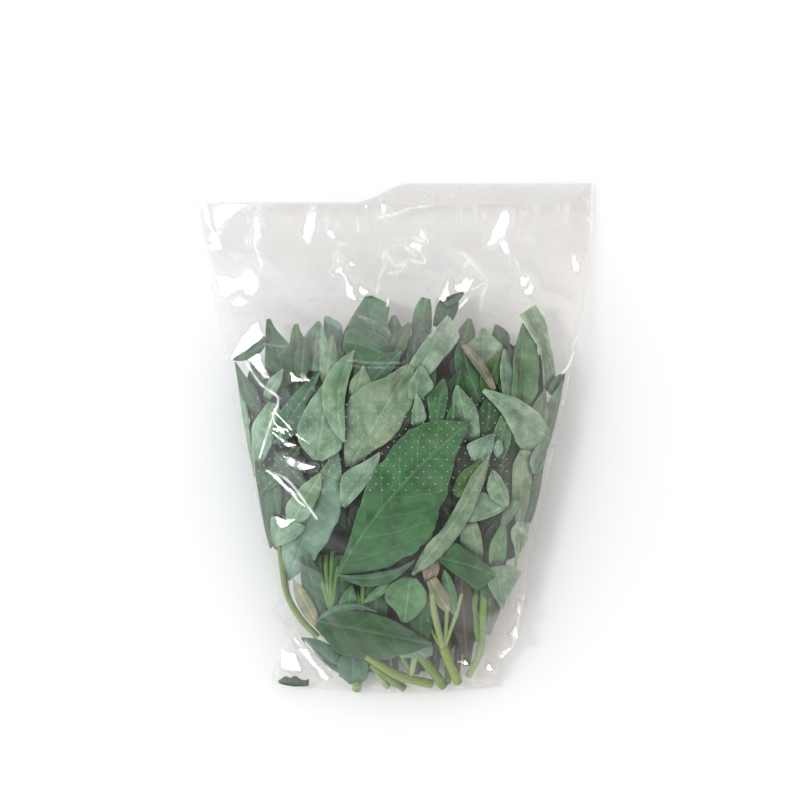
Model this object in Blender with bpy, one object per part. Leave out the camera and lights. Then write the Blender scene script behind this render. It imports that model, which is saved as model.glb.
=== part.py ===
"""A clear tapered bag of basil lying on its back: the open film bag, the bunch of leafy
stems in it, and one loose scrap of leaf in a lower corner.

The origin is under the middle of the bag, on the surface it lies on. +X is to the right,
+Y runs up to the mouth and +Z is up. All lengths below are in millimetres.
"""

import math
import random
from collections import namedtuple

import bmesh
import bpy
from mathutils import Vector, noise

MM = 0.001

# The bag. A station gives its two side creases and its thickness at one distance along it.
Station = namedtuple("Station", "y left right height")
STATIONS = (
    Station(-127, -60, 53, 8),
    Station(-117, -60, 54, 14),
    Station(-104, -58, 60, 20),
    Station(-88, -59, 64, 26),
    Station(-72, -60, 66, 32),
    Station(-45, -67, 71, 39),
    Station(-10, -74, 79, 42),
    Station(25, -81, 87, 41),
    Station(45, -85, 91, 35),
    Station(62, -89, 94, 25),
    Station(80, -92, 97, 15.5),
    Station(100, -97, 99, 10),
    Station(127, -100.6, 99.5, 7.5),
)
FILM_WALL = 0.5
BOTTOM_CORNER_RISE = 3.7  # how far the lower corners stand back from the bottom edge
BOTTOM_HALF_WIDTH = 56.5
UPPER_MOUTH_Y = 116.0
LOWER_MOUTH_Y = 127.0  # the lower layer reaches further, as a lip, over the right-hand part
SHORT_LIP_Y = 117.5
LIP_STEP = (-20.0, 8.0)  # where the lip's edge steps up
MOUTH_CORNER = 0.86  # past this the upper layer's edge runs out to meet the lower layer's
CREASE_SHARE = 0.25  # height of the side creases, as a share of the thickness
FLAT_SHARE = 0.5  # share of the half width that lies flat
CROWN_POWER = 2.6
BAG_COLUMNS = 20
BAG_ROWS = 22
FIRST_ROW = 0.7  # the rows' spacing at the bottom edge, as a share of their mean spacing
WIDEST_SHARE = 0.9  # how far towards the creases the bunch may reach
SQUEEZE = 0.2  # what is left of the reach past that

# The bunch: a core, with blades and stems fused on. Depths are below the film.
FILM_GAP = 1.0
BLADE_THICKNESS = 1.0
CORE_DEPTH = 5.4
CORE_FLOOR_GAP = 2.0
CORE_BUMP = 1.2
CORE_BUMP_SIZE = 14.0
CORE_COLUMNS = 8
CORE_MIDDLE = 0.35  # where its edge is, as a share of the bag's thickness there
CORE_EDGE = 2.0  # half its thickness at the edge
CORE_BOW = 7.0  # how far its middle reaches past its sides, towards the mouth
CoreStation = namedtuple("CoreStation", "y left right fullness")
CORE = (
    CoreStation(-113, -8, 20, 0.4),
    CoreStation(-102, -24, 32, 0.8),
    CoreStation(-87, -35, 42, 1.0),
    CoreStation(-66, -47, 54, 1.0),
    CoreStation(-38, -57, 60, 1.0),
    CoreStation(-8, -63, 68, 1.0),
    CoreStation(18, -66, 74, 1.0),
    CoreStation(33, -58, 64, 0.8),
    CoreStation(43, -40, 46, 0.3),
)
BASE_DROP = 2.0  # how far a blade's base lies below the rest of it
BASE_SHARE = 0.3  # over this share of its length it comes up to its own depth
STALK = 8.0  # a stalk this long runs from the base down into the core
LEAST_STALK = 2.4
STALK_WIDTH = 1.8
STALK_PULL = 0.84  # it leans in towards the middle line by this factor
STALK_FOOT = 0.37  # where it ends, as a share of the bag's thickness there
BLADE_SKEW = 0.8  # below 1 the widest place is nearer to the base than to the tip
BLADE_FULLNESS = 0.85  # below 1 the ends are rounder
LEAST_BLADE = 0.07  # the width of the base and the tip, as a share of the greatest width
BLADE_ROW = 12.0
FEWEST_ROWS, MOST_ROWS = 3, 6
WIDE_BLADE = 21.0  # a wider blade has two columns of faces on each side
WAVE = 0.7
ROW_PHASE, COLUMN_PHASE = 2.2, 2.4  # how far the waves move on from row to row and side to side
SEED = 7

# Blades that lie on top, in the order top to bottom of the bag: base, tip, width, depth.
Blade = namedtuple("Blade", "base tip width depth")
TOP_BLADES = (
    # the tips along the upper edge
    Blade((-10, 43), (-13, 70), 20, 2.6),
    Blade((-60, 38), (-62, 59), 9, 3.0),
    Blade((-51, 26), (-57, 51), 20, 2.4),
    Blade((-38, 33), (-38, 58), 15, 2.6),
    Blade((-26, 34), (-33, 61), 13, 2.2),
    Blade((-8, 28), (-17, 55), 21, 2.0),
    Blade((3, 38), (0, 61), 9, 3.2),
    Blade((18, 44), (16, 69), 10, 3.4),
    Blade((22, 52), (34, 72), 12, 2.6),
    Blade((9, 34), (26, 60), 16, 2.0),
    Blade((34, 40), (38, 59), 10, 3.2),
    Blade((38, 20), (32, 47), 14, 2.6),
    Blade((44, 32), (44, 55), 18, 2.4),
    Blade((55, 36), (51, 56), 11, 3.0),
    Blade((63, 20), (64, 57), 14, 2.6),
    Blade((76, 22), (67, 64), 11, 2.0),
    # the upper half
    Blade((20, 4), (24, 29), 13, 2.4),
    Blade((38, 0), (34, 24), 13, 2.8),
    Blade((44, 23), (77, 1), 25, 1.8),
    Blade((73, -2), (83, 26), 10, 2.6),
    Blade((38, -11), (49, 4), 13, 2.4),
    Blade((-19, -14), (7, 35), 27, 1.9),
    Blade((-47, -6), (-35, 34), 16, 2.6),
    Blade((-30, -1), (-19, 43), 14, 2.3),
    Blade((-38, -16), (-32, 20), 24, 2.2),
    Blade((-65, -7), (-55, 16), 13, 2.8),
    Blade((-61, -1), (-37, 34), 12, 2.2),
    Blade((-67, -19), (-74, 36), 9, 2.4),
    # the lower half, with the three largest
    Blade((-28, -69), (37, 8), 44, 1.5),
    Blade((-27, -5), (-53, -72), 23, 1.7),
    Blade((-41, -89), (18, -107), 22, 1.5),
    Blade((-41, -34), (-58, -55), 15, 2.6),
    Blade((-25, -34), (-6, -9), 11, 2.2),
    Blade((-69, -22), (-63, -55), 9, 2.6),
    Blade((8, -67), (46, -9), 11, 1.7),
    Blade((38, -40), (57, -33), 12, 2.6),
    Blade((38, -39), (42, -62), 14, 2.4),
    Blade((21, -58), (51, -69), 20, 1.8),
    Blade((53, -62), (53, -85), 17, 2.2),
    Blade((63, -4), (55, -42), 11, 2.4),
    Blade((69, -12), (65, -45), 11, 2.2),
    Blade((60, -66), (65, -43), 10, 2.4),
    Blade((-26, -112), (-46, -98), 11, 2.8),
    Blade((-21, -104), (-19, -123), 14, 2.6),
    Blade((13, -68), (6, -92), 17, 2.6),
)

# Blades that stand out of both sides of the core, in ranges that each is drawn from.
EDGE_BLADES = 7  # on each side
EDGE_Y = (-66.0, 24.0)  # the bases of the first and the last
EDGE_BASE = 0.6  # how far out the bases are, as a share of the half width
EDGE_TIPS = (0.86, 0.93)
EDGE_RISE = (10, 24)  # how much further along the bag a tip is than its base
EDGE_WIDTHS = (10, 15)
EDGE_LIFTS = (0.2, 0.7)  # heights, as a share of the bag's thickness

# Blades in rows and columns, with their first row and the step between rows, the columns'
# spacing as a share of the half width, and how far a base and a direction may stray.
Field = namedtuple("Field", "rows columns first step spread stray_y stray_x turn fan lengths widths")
UNDER_FIELD = Field(4, 3, -70, 27, 0.5, 4, 6, 0.5, 0.0, (36, 46), (20, 27))  # under the core
UNDER_STEP = 0.7  # each of three in a row lies this much higher than the one before
FILL_FIELD = Field(4, 3, -58, 28, 0.6, 5, 5, 0.5, 0.4, (26, 34), (12, 17))  # over the core
FILL_DEPTH = 4.2
FILL_STEP = 0.5

# Stems that show, from the bunch down to the cut end: plan points, width, depth.
Stem = namedtuple("Stem", "points width depth")
STEMS = (
    Stem(((-57, -52), (-53, -72), (-45, -86), (-38, -99)), 3.2, 3.4),
    Stem(((-33, -62), (-31, -85), (-22, -108)), 3.6, 4.4),
    Stem(((-15, -70), (-16, -86), (-18, -100)), 2.8, 4.4),
    Stem(((-14, -108), (-4, -114), (3, -119), (19, -123)), 4.4, 3.2),
    Stem(((-8, -114), (-1, -120), (5, -124)), 3.4, 4.0),
    Stem(((12, -108), (19, -117), (25, -123)), 4.5, 3.4),
    Stem(((19, -70), (21, -88), (23, -103), (26, -112), (32, -121.5)), 4.4, 3.2),
    Stem(((34, -73), (31, -88), (25, -103)), 2.4, 3.0),
    Stem(((36, -68), (44, -92), (41, -106), (36, -119)), 3.6, 3.4),
    Stem(((-22, -112), (-19, -119), (-18.5, -123)), 4.2, 3.6),
)
STEM_TOP_DEPTH = 12.0  # sunk in the core
STEM_TAPER = 0.85  # the upper end's radius, as a share of the rest
STEM_SIDES = 6

# The stems under those that show, spread over the bottom of the bag.
LOWER_STEMS = 9
LOWER_STEM_WIDTH = 4.2
LOWER_SIZES = (0.8, 1.1)
LOWER_POINTS = 4
LOWER_TOPS = (-30.0, 36.0)  # across the bag, the first and the last
LOWER_TOP_Y = -74.0
LOWER_TOP_Z = 12.0
LOWER_ENDS = (-26.0, 32.0)
LOWER_END_Y = -122.5
LOWER_END_Z = 3.0
LOWER_STRAY = 3  # how far a cut end may be to either side
LOWER_STAGGER = 6  # and back from the lowest one
LOWER_LIFT = 2.5  # every second stem is this much higher

SCRAP = Blade((-57, -119), (-43, -121.5), 4.0, 0.0)
SCRAP_THICKNESS = 0.8


def clear_scene():
    for thing in list(bpy.data.objects):
        bpy.data.objects.remove(thing, do_unlink=True)


def material(name, colour, roughness, alpha=1.0):
    made = bpy.data.materials.new(name)
    made.use_nodes = True
    shader = made.node_tree.nodes["Principled BSDF"]
    shader.inputs["Base Color"].default_value = (*colour, 1.0)
    shader.inputs["Roughness"].default_value = roughness
    shader.inputs["Alpha"].default_value = alpha
    return made


def new_object(name, bm, finish=None):
    """An object of this mesh, in millimetres, turned to metres and with its faces out."""
    bmesh.ops.recalc_face_normals(bm, faces=bm.faces)
    bmesh.ops.scale(bm, vec=(MM, MM, MM), verts=bm.verts)
    mesh = bpy.data.meshes.new(name)
    bm.to_mesh(mesh)
    bm.free()
    made = bpy.data.objects.new(name, mesh)
    bpy.context.scene.collection.objects.link(made)
    if finish:
        mesh.materials.append(finish)
    return made


def smoothstep(low, high, value):
    t = min(max((value - low) / (high - low), 0.0), 1.0)
    return t * t * (3 - 2 * t)


def along(rows, y, field):
    """One field of a list of stations at y, on a smooth curve through them."""
    last = len(rows) - 1
    i = next((k for k in range(last) if y <= rows[k + 1].y), last - 1)
    before, a, b, after = (rows[min(max(k, 0), last)] for k in (i - 1, i, i + 1, i + 2))
    span = b.y - a.y
    t = min(max((y - a.y) / span, 0.0), 1.0)
    last_p, p, q, next_q = (getattr(row, field) for row in (before, a, b, after))
    slope_a = (q - last_p) / (b.y - before.y) * span
    slope_b = (next_q - p) / (after.y - a.y) * span
    return (
        p
        + slope_a * t
        + (3 * (q - p) - 2 * slope_a - slope_b) * t * t
        + (slope_a + slope_b - 2 * (q - p)) * t**3
    )


def bag_x(u, y):
    """The place across the bag: u is -1 at the left crease and 1 at the right one."""
    left, right = along(STATIONS, y, "left"), along(STATIONS, y, "right")
    return left + (right - left) * (u + 1) / 2


def bag_u(x, y):
    left, right = along(STATIONS, y, "left"), along(STATIONS, y, "right")
    return min(max(2 * (x - left) / (right - left) - 1, -1.0), 1.0)


def bag_heights(u, y):
    """The outer film's lowest and highest point there."""
    height = along(STATIONS, y, "height")
    crease = CREASE_SHARE * height
    rise = max(abs(u) - FLAT_SHARE, 0.0) / (1 - FLAT_SHARE)
    crown = max(1 - abs(u) ** CROWN_POWER, 0.0) ** 0.5
    return crease * rise**2, crease + (height - crease) * crown


def inside(x, y):
    """The lowest and highest point that the bunch may reach there."""
    low, high = bag_heights(bag_u(x, y), y)
    gap = FILM_WALL + FILM_GAP
    middle = (low + high) / 2
    return min(low + gap, middle), max(high - gap, middle)


def kept_in(x, y):
    """That place across the bag, squeezed in from the side creases where it is near them."""
    low, high = bag_x(-WIDEST_SHARE, y), bag_x(WIDEST_SHARE, y)
    nearest = min(max(x, low), high)
    return nearest + SQUEEZE * (x - nearest)


def bottom_y(x):
    return STATIONS[0].y + BOTTOM_CORNER_RISE * (x / BOTTOM_HALF_WIDTH) ** 2


def mouth_y(u, upper):
    x = bag_x(u, UPPER_MOUTH_Y)
    lower = SHORT_LIP_Y + (LOWER_MOUTH_Y - SHORT_LIP_Y) * smoothstep(*LIP_STEP, x)
    if not upper:
        return lower
    at_crease = smoothstep(MOUTH_CORNER, 1.0, abs(u))
    return UPPER_MOUTH_Y + (lower - UPPER_MOUTH_Y) * at_crease


def bag_point(u, t, upper):
    """A point of the film: t is 0 at the bottom edge and 1 at the mouth."""
    start = bottom_y(bag_x(u, STATIONS[0].y))
    y = start + (mouth_y(u, upper) - start) * t
    low, high = bag_heights(u, y)
    return bag_x(u, y), y, high if upper else low


def bag_ring(bm, t):
    """One ring of the bag's points: over the top from left to right, and back under it."""
    steps = [math.sin(math.pi / 2 * (2 * k / BAG_COLUMNS - 1)) for k in range(BAG_COLUMNS + 1)]
    over = [bm.verts.new(bag_point(u, t, True)) for u in steps]
    under = [bm.verts.new(bag_point(u, t, False)) for u in reversed(steps[1:-1])]
    return over + under


def make_bag(finish):
    bm = bmesh.new()
    rows = [k / BAG_ROWS for k in range(BAG_ROWS + 1)]
    rings = [bag_ring(bm, t * (FIRST_ROW + (1 - FIRST_ROW) * t)) for t in rows]
    for a, b in zip(rings, rings[1:]):
        for k in range(len(a)):
            bm.faces.new((a[k - 1], a[k], b[k], b[k - 1]))
    close_end(bm, rings[0], BAG_COLUMNS)
    bag = new_object("bag_film", bm, finish)
    wall = bag.modifiers.new("Wall", "SOLIDIFY")
    wall.thickness = FILM_WALL * MM
    wall.offset = -1
    wall.use_even_offset = True
    bag.data.shade_smooth()
    return bag


def close_end(bm, ring, columns):
    """Closes a ring that runs over a flat shape and back under it, its sides being shared."""
    over, under = ring[: columns + 1], [ring[0]] + ring[:columns:-1] + [ring[columns]]
    for k in range(columns):
        corners = [over[k], over[k + 1], under[k + 1], under[k]]
        bm.faces.new(dict.fromkeys(corners))


def core_ring(bm, station):
    """One ring of the core's points: over the top from left to right, and back under it."""
    over, under = [], []
    for k in range(CORE_COLUMNS + 1):
        share = k / CORE_COLUMNS
        x = station.left + (station.right - station.left) * share
        y = station.y + CORE_BOW * (1 - (2 * share - 1) ** 2)
        low, high = inside(x, y)
        edge = abs(2 * share - 1) ** 3
        bump = CORE_BUMP * noise.noise(Vector((x, y, 0)) / CORE_BUMP_SIZE)
        middle = low + CORE_MIDDLE * (high - low)
        top = middle + (high - CORE_DEPTH - bump - middle) * station.fullness
        base = middle + (low + CORE_FLOOR_GAP - middle) * station.fullness
        top += (middle + CORE_EDGE - top) * edge
        base += (middle - CORE_EDGE - base) * edge
        over.append(bm.verts.new((x, y, top)))
        under.append(bm.verts.new((x, y, base)))
    return over + under[::-1]


def make_core():
    """The bunch's middle, under the blades: a low mound that follows the bag."""
    bm = bmesh.new()
    rings = [core_ring(bm, station) for station in CORE]
    for a, b in zip(rings, rings[1:]):
        for k in range(len(a)):
            bm.faces.new((a[k - 1], a[k], b[k], b[k - 1]))
    for ring in (rings[0], rings[-1]):
        over, under = ring[: CORE_COLUMNS + 1], ring[: CORE_COLUMNS : -1]
        for k in range(CORE_COLUMNS):
            bm.faces.new((over[k], over[k + 1], under[k + 1], under[k]))
    return new_object("basil_bunch", bm)


def blade_half_width(t, width):
    """Half the width of a pointed oval blade at t, from 0 at its base to 1 at its tip."""
    return width / 2 * max(math.sin(math.pi * t**BLADE_SKEW), LEAST_BLADE) ** BLADE_FULLNESS


def stalk_foot(base, direction):
    """Where a blade's stalk ends in plan: back from the base, and leaning in if that leaves
    it clear of the blade."""
    straight = base - direction * STALK
    leaning = Vector((straight.x * STALK_PULL, straight.y))
    return leaning if (base - leaning).dot(direction) > LEAST_STALK else straight


def blade_rows(blade):
    """The rows across a blade, from the foot of its stalk to its tip. Each is its place
    along the blade, its middle, the direction across and the half width."""
    base, tip = Vector(blade.base), Vector(blade.tip)
    length = (tip - base).length
    foot = stalk_foot(base, (tip - base).normalized())
    across = (tip - base).orthogonal().normalized()
    across_foot = (base - foot).orthogonal().normalized()
    if across.dot(across_foot) < 0:
        across_foot.negate()
    rows = [(None, foot, across_foot, STALK_WIDTH / 2)]
    count = max(FEWEST_ROWS, min(MOST_ROWS, round(length / BLADE_ROW)))
    for i in range(count + 1):
        t = i / count
        rows.append((t, base.lerp(tip, t), across, blade_half_width(t, blade.width)))
    return rows


def blade_height(x, y, t, wave, height, thickness):
    """The height of a blade's middle, or of its stalk's foot where t is None."""
    low, high = inside(x, y)
    if t is None:
        z = low + STALK_FOOT * (high - low)
    else:
        z = height(x, y, t) + wave
    return min(max(z, low + thickness / 2), high - thickness / 2)


def blade_object(name, blade, height, thickness, phase):
    """A thin wavy blade, both faces split alike, where height(x, y, t) gives its middle."""
    sides = 2 if blade.width > WIDE_BLADE else 1
    bm = bmesh.new()
    upper, lower = [], []
    for i, (t, middle, across, half) in enumerate(blade_rows(blade), start=-1):
        tops, bottoms = [], []
        for j in range(-sides, sides + 1):
            place = middle + across * (half * j / sides)
            place.x = kept_in(place.x, place.y)
            wave = WAVE * math.sin(ROW_PHASE * i + COLUMN_PHASE * j + phase) * abs(j) / sides
            z = blade_height(place.x, place.y, t, wave, height, thickness)
            tops.append(bm.verts.new((place.x, place.y, z + thickness / 2)))
            bottoms.append(bm.verts.new((place.x, place.y, z - thickness / 2)))
        upper.append(tops)
        lower.append(bottoms)
    join_blade(bm, upper, lower)
    return new_object(name, bm)


def join_blade(bm, upper, lower):
    for rows in (upper, lower):
        for a, b in zip(rows, rows[1:]):
            for j in range(len(a) - 1):
                bm.faces.new((a[j], a[j + 1], b[j]))
                bm.faces.new((a[j + 1], b[j + 1], b[j]))
    top_rim = upper[0] + [row[-1] for row in upper[1:]] + upper[-1][-2::-1]
    top_rim += [row[0] for row in upper[-2:0:-1]]
    low_rim = lower[0] + [row[-1] for row in lower[1:]] + lower[-1][-2::-1]
    low_rim += [row[0] for row in lower[-2:0:-1]]
    for k in range(len(top_rim)):
        bm.faces.new((top_rim[k - 1], top_rim[k], low_rim[k], low_rim[k - 1]))


def top_blade(number, blade):
    def height(x, y, t):
        depth = blade.depth + BASE_DROP * (1 - smoothstep(0, BASE_SHARE, t))
        return inside(x, y)[1] - depth + FILM_GAP

    phase = sum(blade.base)
    return blade_object(f"blade_{number}", blade, height, BLADE_THICKNESS, phase)


def edge_blades(draw):
    """Blades that stand out of both sides of the core, at any height."""
    made = []
    for side in (-1, 1):
        for k in range(EDGE_BLADES):
            y = EDGE_Y[0] + (EDGE_Y[1] - EDGE_Y[0]) * k / (EDGE_BLADES - 1)
            lift = draw.uniform(*EDGE_LIFTS)
            tip_u = draw.uniform(*EDGE_TIPS) * side
            tip_y = y + draw.uniform(*EDGE_RISE)
            base, tip = (bag_x(EDGE_BASE * side, y), y), (bag_x(tip_u, tip_y), tip_y)
            blade = Blade(base, tip, draw.uniform(*EDGE_WIDTHS), 0)

            def height(x, y, t, lift=lift):
                low, high = inside(x, y)
                return low + lift * (high - low)

            made.append(blade_object(f"edge_{side}_{k}", blade, height, BLADE_THICKNESS, k))
    return made


def field_blades(draw, field):
    """The blades of a field, row by row."""
    blades = []
    for k in range(field.rows * field.columns):
        row, column = divmod(k, field.columns)
        across = field.spread * (column - 1)
        y = field.first + field.step * row + draw.uniform(-field.stray_y, field.stray_y)
        x = bag_x(across, y) + draw.uniform(-field.stray_x, field.stray_x)
        turn = draw.uniform(-field.turn, field.turn) + field.fan * across
        length = draw.uniform(*field.lengths)
        tip = (x + length * math.sin(turn), y + length * math.cos(turn))
        blades.append(Blade((x, y), tip, draw.uniform(*field.widths), 0))
    return blades


def under_blades(draw):
    """Blades pressed flat under the core."""
    made = []
    for k, blade in enumerate(field_blades(draw, UNDER_FIELD)):

        def height(x, y, t, level=UNDER_STEP * (k % 3)):
            sunk = BASE_DROP * (1 - smoothstep(0, BASE_SHARE, t))
            return inside(x, y)[0] + BLADE_THICKNESS / 2 + level + sunk

        made.append(blade_object(f"under_{k}", blade, height, BLADE_THICKNESS, k))
    return made


def fill_blades(draw):
    """Blades over the core, under those that are placed by hand."""
    made = []
    for k, blade in enumerate(field_blades(draw, FILL_FIELD)):
        sunk = blade._replace(depth=FILL_DEPTH + FILL_STEP * (k % 3))
        made.append(top_blade(f"fill_{k}", sunk))
    return made


def tube_object(name, points, radii):
    """A stem through the points, with flat cut ends."""
    bm = bmesh.new()
    rings = []
    for i, point in enumerate(points):
        ahead = points[min(i + 1, len(points) - 1)] - points[max(i - 1, 0)]
        side = ahead.cross(Vector((0, 0, 1))).normalized()
        up = side.cross(ahead).normalized()
        ring = []
        for k in range(STEM_SIDES):
            angle = 2 * math.pi * (k + 0.5) / STEM_SIDES
            offset = side * math.cos(angle) + up * math.sin(angle)
            ring.append(bm.verts.new(point + offset * radii[i]))
        rings.append(ring)
    for a, b in zip(rings, rings[1:]):
        for k in range(STEM_SIDES):
            bm.faces.new((a[k - 1], a[k], b[k], b[k - 1]))
    bm.faces.new(rings[0])
    bm.faces.new(rings[-1])
    return new_object(name, bm)


def stem_height(x, y, radius, wanted):
    low, high = inside(x, y)
    return min(max(wanted, low + radius), max(high - radius, (low + high) / 2))


def top_stem(number, stem):
    radius = stem.width / 2
    points = []
    for i, (x, y) in enumerate(stem.points):
        depth = STEM_TOP_DEPTH if i == 0 else stem.depth
        high = inside(x, y)[1] + FILM_GAP
        points.append(Vector((x, y, stem_height(x, y, radius, high - depth))))
    radii = [radius * STEM_TAPER] + [radius] * (len(points) - 1)
    return tube_object(f"stem_{number}", points, radii)


def lower_stems(draw):
    """The stems under those that show, spread over the bottom of the bag."""
    made = []
    for k in range(LOWER_STEMS):
        share = k / (LOWER_STEMS - 1)
        top_x = LOWER_TOPS[0] + (LOWER_TOPS[1] - LOWER_TOPS[0]) * share
        end_x = LOWER_ENDS[0] + (LOWER_ENDS[1] - LOWER_ENDS[0]) * share
        end_x += draw.uniform(-LOWER_STRAY, LOWER_STRAY)
        end_y = LOWER_END_Y + draw.uniform(0, LOWER_STAGGER)
        radius = LOWER_STEM_WIDTH / 2 * draw.uniform(*LOWER_SIZES)
        points = []
        for step in range(LOWER_POINTS):
            t = step / (LOWER_POINTS - 1)
            x, y = top_x + (end_x - top_x) * t, LOWER_TOP_Y + (end_y - LOWER_TOP_Y) * t
            wanted = LOWER_TOP_Z + (LOWER_END_Z - LOWER_TOP_Z) * t + LOWER_LIFT * (k % 2)
            points.append(Vector((x, y, stem_height(x, y, radius, wanted))))
        made.append(tube_object(f"lower_stem_{k}", points, [radius] * LOWER_POINTS))
    return made


def fuse(core, pieces):
    """Joins the pieces to the core by one Boolean, and removes them."""
    group = bpy.data.collections.new("pieces")
    bpy.context.scene.collection.children.link(group)
    for piece in pieces:
        group.objects.link(piece)
    join = core.modifiers.new("Join", "BOOLEAN")
    join.operation = "UNION"
    join.operand_type = "COLLECTION"
    join.collection = group
    join.solver = "EXACT"
    bpy.context.view_layer.update()
    graph = bpy.context.evaluated_depsgraph_get()
    joined = bpy.data.meshes.new_from_object(core.evaluated_get(graph))
    core.modifiers.remove(join)
    core.data = joined
    for piece in pieces:
        bpy.data.objects.remove(piece, do_unlink=True)
    bpy.data.collections.remove(group)


def shells(bm):
    """The groups of faces that are joined to one another."""
    left, groups = set(bm.faces), []
    while left:
        group, edge = set(), [next(iter(left))]
        while edge:
            face = edge.pop()
            if face in group:
                continue
            group.add(face)
            edge += [other for line in face.edges for other in line.link_faces]
        left -= group
        groups.append(group)
    return groups


def keep_outer_shell(mesh):
    """Fills the hollows that joining seals, and drops what it leaves loose."""
    bm = bmesh.new()
    bm.from_mesh(mesh)
    groups = sorted(shells(bm), key=len)
    spare = [face for group in groups[:-1] for face in group]
    bmesh.ops.delete(bm, geom=spare, context="FACES")
    bmesh.ops.triangulate(bm, faces=bm.faces)
    bm.to_mesh(mesh)
    bm.free()


def make_bunch(finish):
    draw = random.Random(SEED)
    core = make_core()
    pieces = [top_blade(k, blade) for k, blade in enumerate(TOP_BLADES)]
    pieces += edge_blades(draw) + under_blades(draw) + fill_blades(draw)
    pieces += [top_stem(k, stem) for k, stem in enumerate(STEMS)]
    pieces += lower_stems(draw)
    fuse(core, pieces)
    keep_outer_shell(core.data)
    core.data.materials.append(finish)
    return core


def make_scrap(finish):
    def height(x, y, t):
        return sum(inside(x, y)) / 2

    scrap = blade_object("leaf_scrap", SCRAP, height, SCRAP_THICKNESS, 0)
    scrap.data.materials.append(finish)
    return scrap


def main():
    clear_scene()
    make_bag(material("clear_film", (0.86, 0.87, 0.86), 0.1, alpha=0.3))
    make_bunch(material("basil", (0.09, 0.2, 0.08), 0.5))
    make_scrap(material("dark_leaf", (0.03, 0.09, 0.04), 0.5))


main()
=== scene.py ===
"""The looks of the bag of basil: crinkled clear film round a bunch of leaves and stems.

Lengths are in millimetres in the bag's own frame, as in the part's source, and are turned
to metres where a mesh is made.
"""

import math
from collections import namedtuple

import bpy
import numpy as np
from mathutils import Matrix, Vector


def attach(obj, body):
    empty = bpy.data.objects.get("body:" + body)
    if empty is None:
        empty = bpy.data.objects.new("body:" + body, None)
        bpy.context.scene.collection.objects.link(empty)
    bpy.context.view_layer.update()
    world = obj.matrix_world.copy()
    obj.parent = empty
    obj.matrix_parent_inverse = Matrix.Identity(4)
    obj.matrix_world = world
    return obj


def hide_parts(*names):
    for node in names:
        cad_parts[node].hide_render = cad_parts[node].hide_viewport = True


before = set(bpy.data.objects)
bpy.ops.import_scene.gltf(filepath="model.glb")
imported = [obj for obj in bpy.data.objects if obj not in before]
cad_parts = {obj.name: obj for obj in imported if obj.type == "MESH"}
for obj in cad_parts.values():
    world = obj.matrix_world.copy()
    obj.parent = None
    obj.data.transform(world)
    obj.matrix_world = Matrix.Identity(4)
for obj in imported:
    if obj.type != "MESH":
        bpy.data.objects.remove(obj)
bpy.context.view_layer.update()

MM = 0.001

# --- the bag's shape, as in the part's source -------------------------------------------
Station = namedtuple("Station", "y left right height")
STATIONS = (
    Station(-127, -60, 53, 8),
    Station(-117, -60, 54, 14),
    Station(-104, -58, 60, 20),
    Station(-88, -59, 64, 26),
    Station(-72, -60, 66, 32),
    Station(-45, -67, 71, 39),
    Station(-10, -74, 79, 42),
    Station(25, -81, 87, 41),
    Station(45, -85, 91, 35),
    Station(62, -89, 94, 25),
    Station(80, -92, 97, 15.5),
    Station(100, -97, 99, 10),
    Station(127, -100.6, 99.5, 7.5),
)
FILM_WALL = 0.5
FILM_GAP = 1.0
BOTTOM_CORNER_RISE = 3.7
BOTTOM_HALF_WIDTH = 56.5
UPPER_MOUTH_Y = 116.0
LOWER_MOUTH_Y = 127.0
SHORT_LIP_Y = 117.5
LIP_STEP = (-20.0, 8.0)
CREASE_SHARE = 0.25
FLAT_SHARE = 0.5
CROWN_POWER = 2.6
BOTTOM_FOLD = 7.0  # over this length the two layers part from the bottom edge
SEAM_SHARE = 0.3
WIDEST_SHARE = 0.95
SQUEEZE = 0.3
LIP_JOIN = (0.86, 1.0)  # towards the sides the two lips run together


def smoothstep(low, high, value):
    t = np.clip((value - low) / (high - low), 0.0, 1.0)
    return t * t * (3 - 2 * t)


def eased(p, q, a, b, t):
    """From p to q as t goes from 0 to 1, with slopes a and b at the ends."""
    return p + a * t + (3 * (q - p) - 2 * a - b) * t**2 + (a + b - 2 * (q - p)) * t**3


def along(rows, y, field):
    """One field of a list of stations at y, on a smooth curve through them."""
    places = np.array([row.y for row in rows], float)
    values = np.array([getattr(row, field) for row in rows], float)
    slopes = np.gradient(values, places, edge_order=1)
    slopes[1:-1] = (values[2:] - values[:-2]) / (places[2:] - places[:-2])
    i = np.clip(np.searchsorted(places, y, side="right") - 1, 0, len(rows) - 2)
    span = places[i + 1] - places[i]
    t = np.clip((y - places[i]) / span, 0.0, 1.0)
    return eased(values[i], values[i + 1], slopes[i] * span, slopes[i + 1] * span, t)


def bag_x(u, y):
    left, right = along(STATIONS, y, "left"), along(STATIONS, y, "right")
    return left + (right - left) * (u + 1) / 2


def bag_u(x, y):
    left, right = along(STATIONS, y, "left"), along(STATIONS, y, "right")
    return np.clip(2 * (x - left) / (right - left) - 1, -1.0, 1.0)


def bag_heights(u, y):
    """The outer film's lowest and highest point there."""
    height = along(STATIONS, y, "height")
    crease = CREASE_SHARE * height
    rise = np.maximum(np.abs(u) - FLAT_SHARE, 0.0) / (1 - FLAT_SHARE)
    crown = np.maximum(1 - np.abs(u) ** CROWN_POWER, 0.0) ** 0.5
    return crease * rise**2, crease + (height - crease) * crown


def end_pinch(low, high, y, x):
    """The heights near the bottom edge, where both layers come together in a soft fold."""
    share = np.clip((y - bottom_y(x)) / BOTTOM_FOLD, 0.0, 1.0)
    open_share = np.sqrt(1 - (1 - share) ** 2)
    seam = low + SEAM_SHARE * (high - low)
    return seam + (low - seam) * open_share, seam + (high - seam) * open_share


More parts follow.
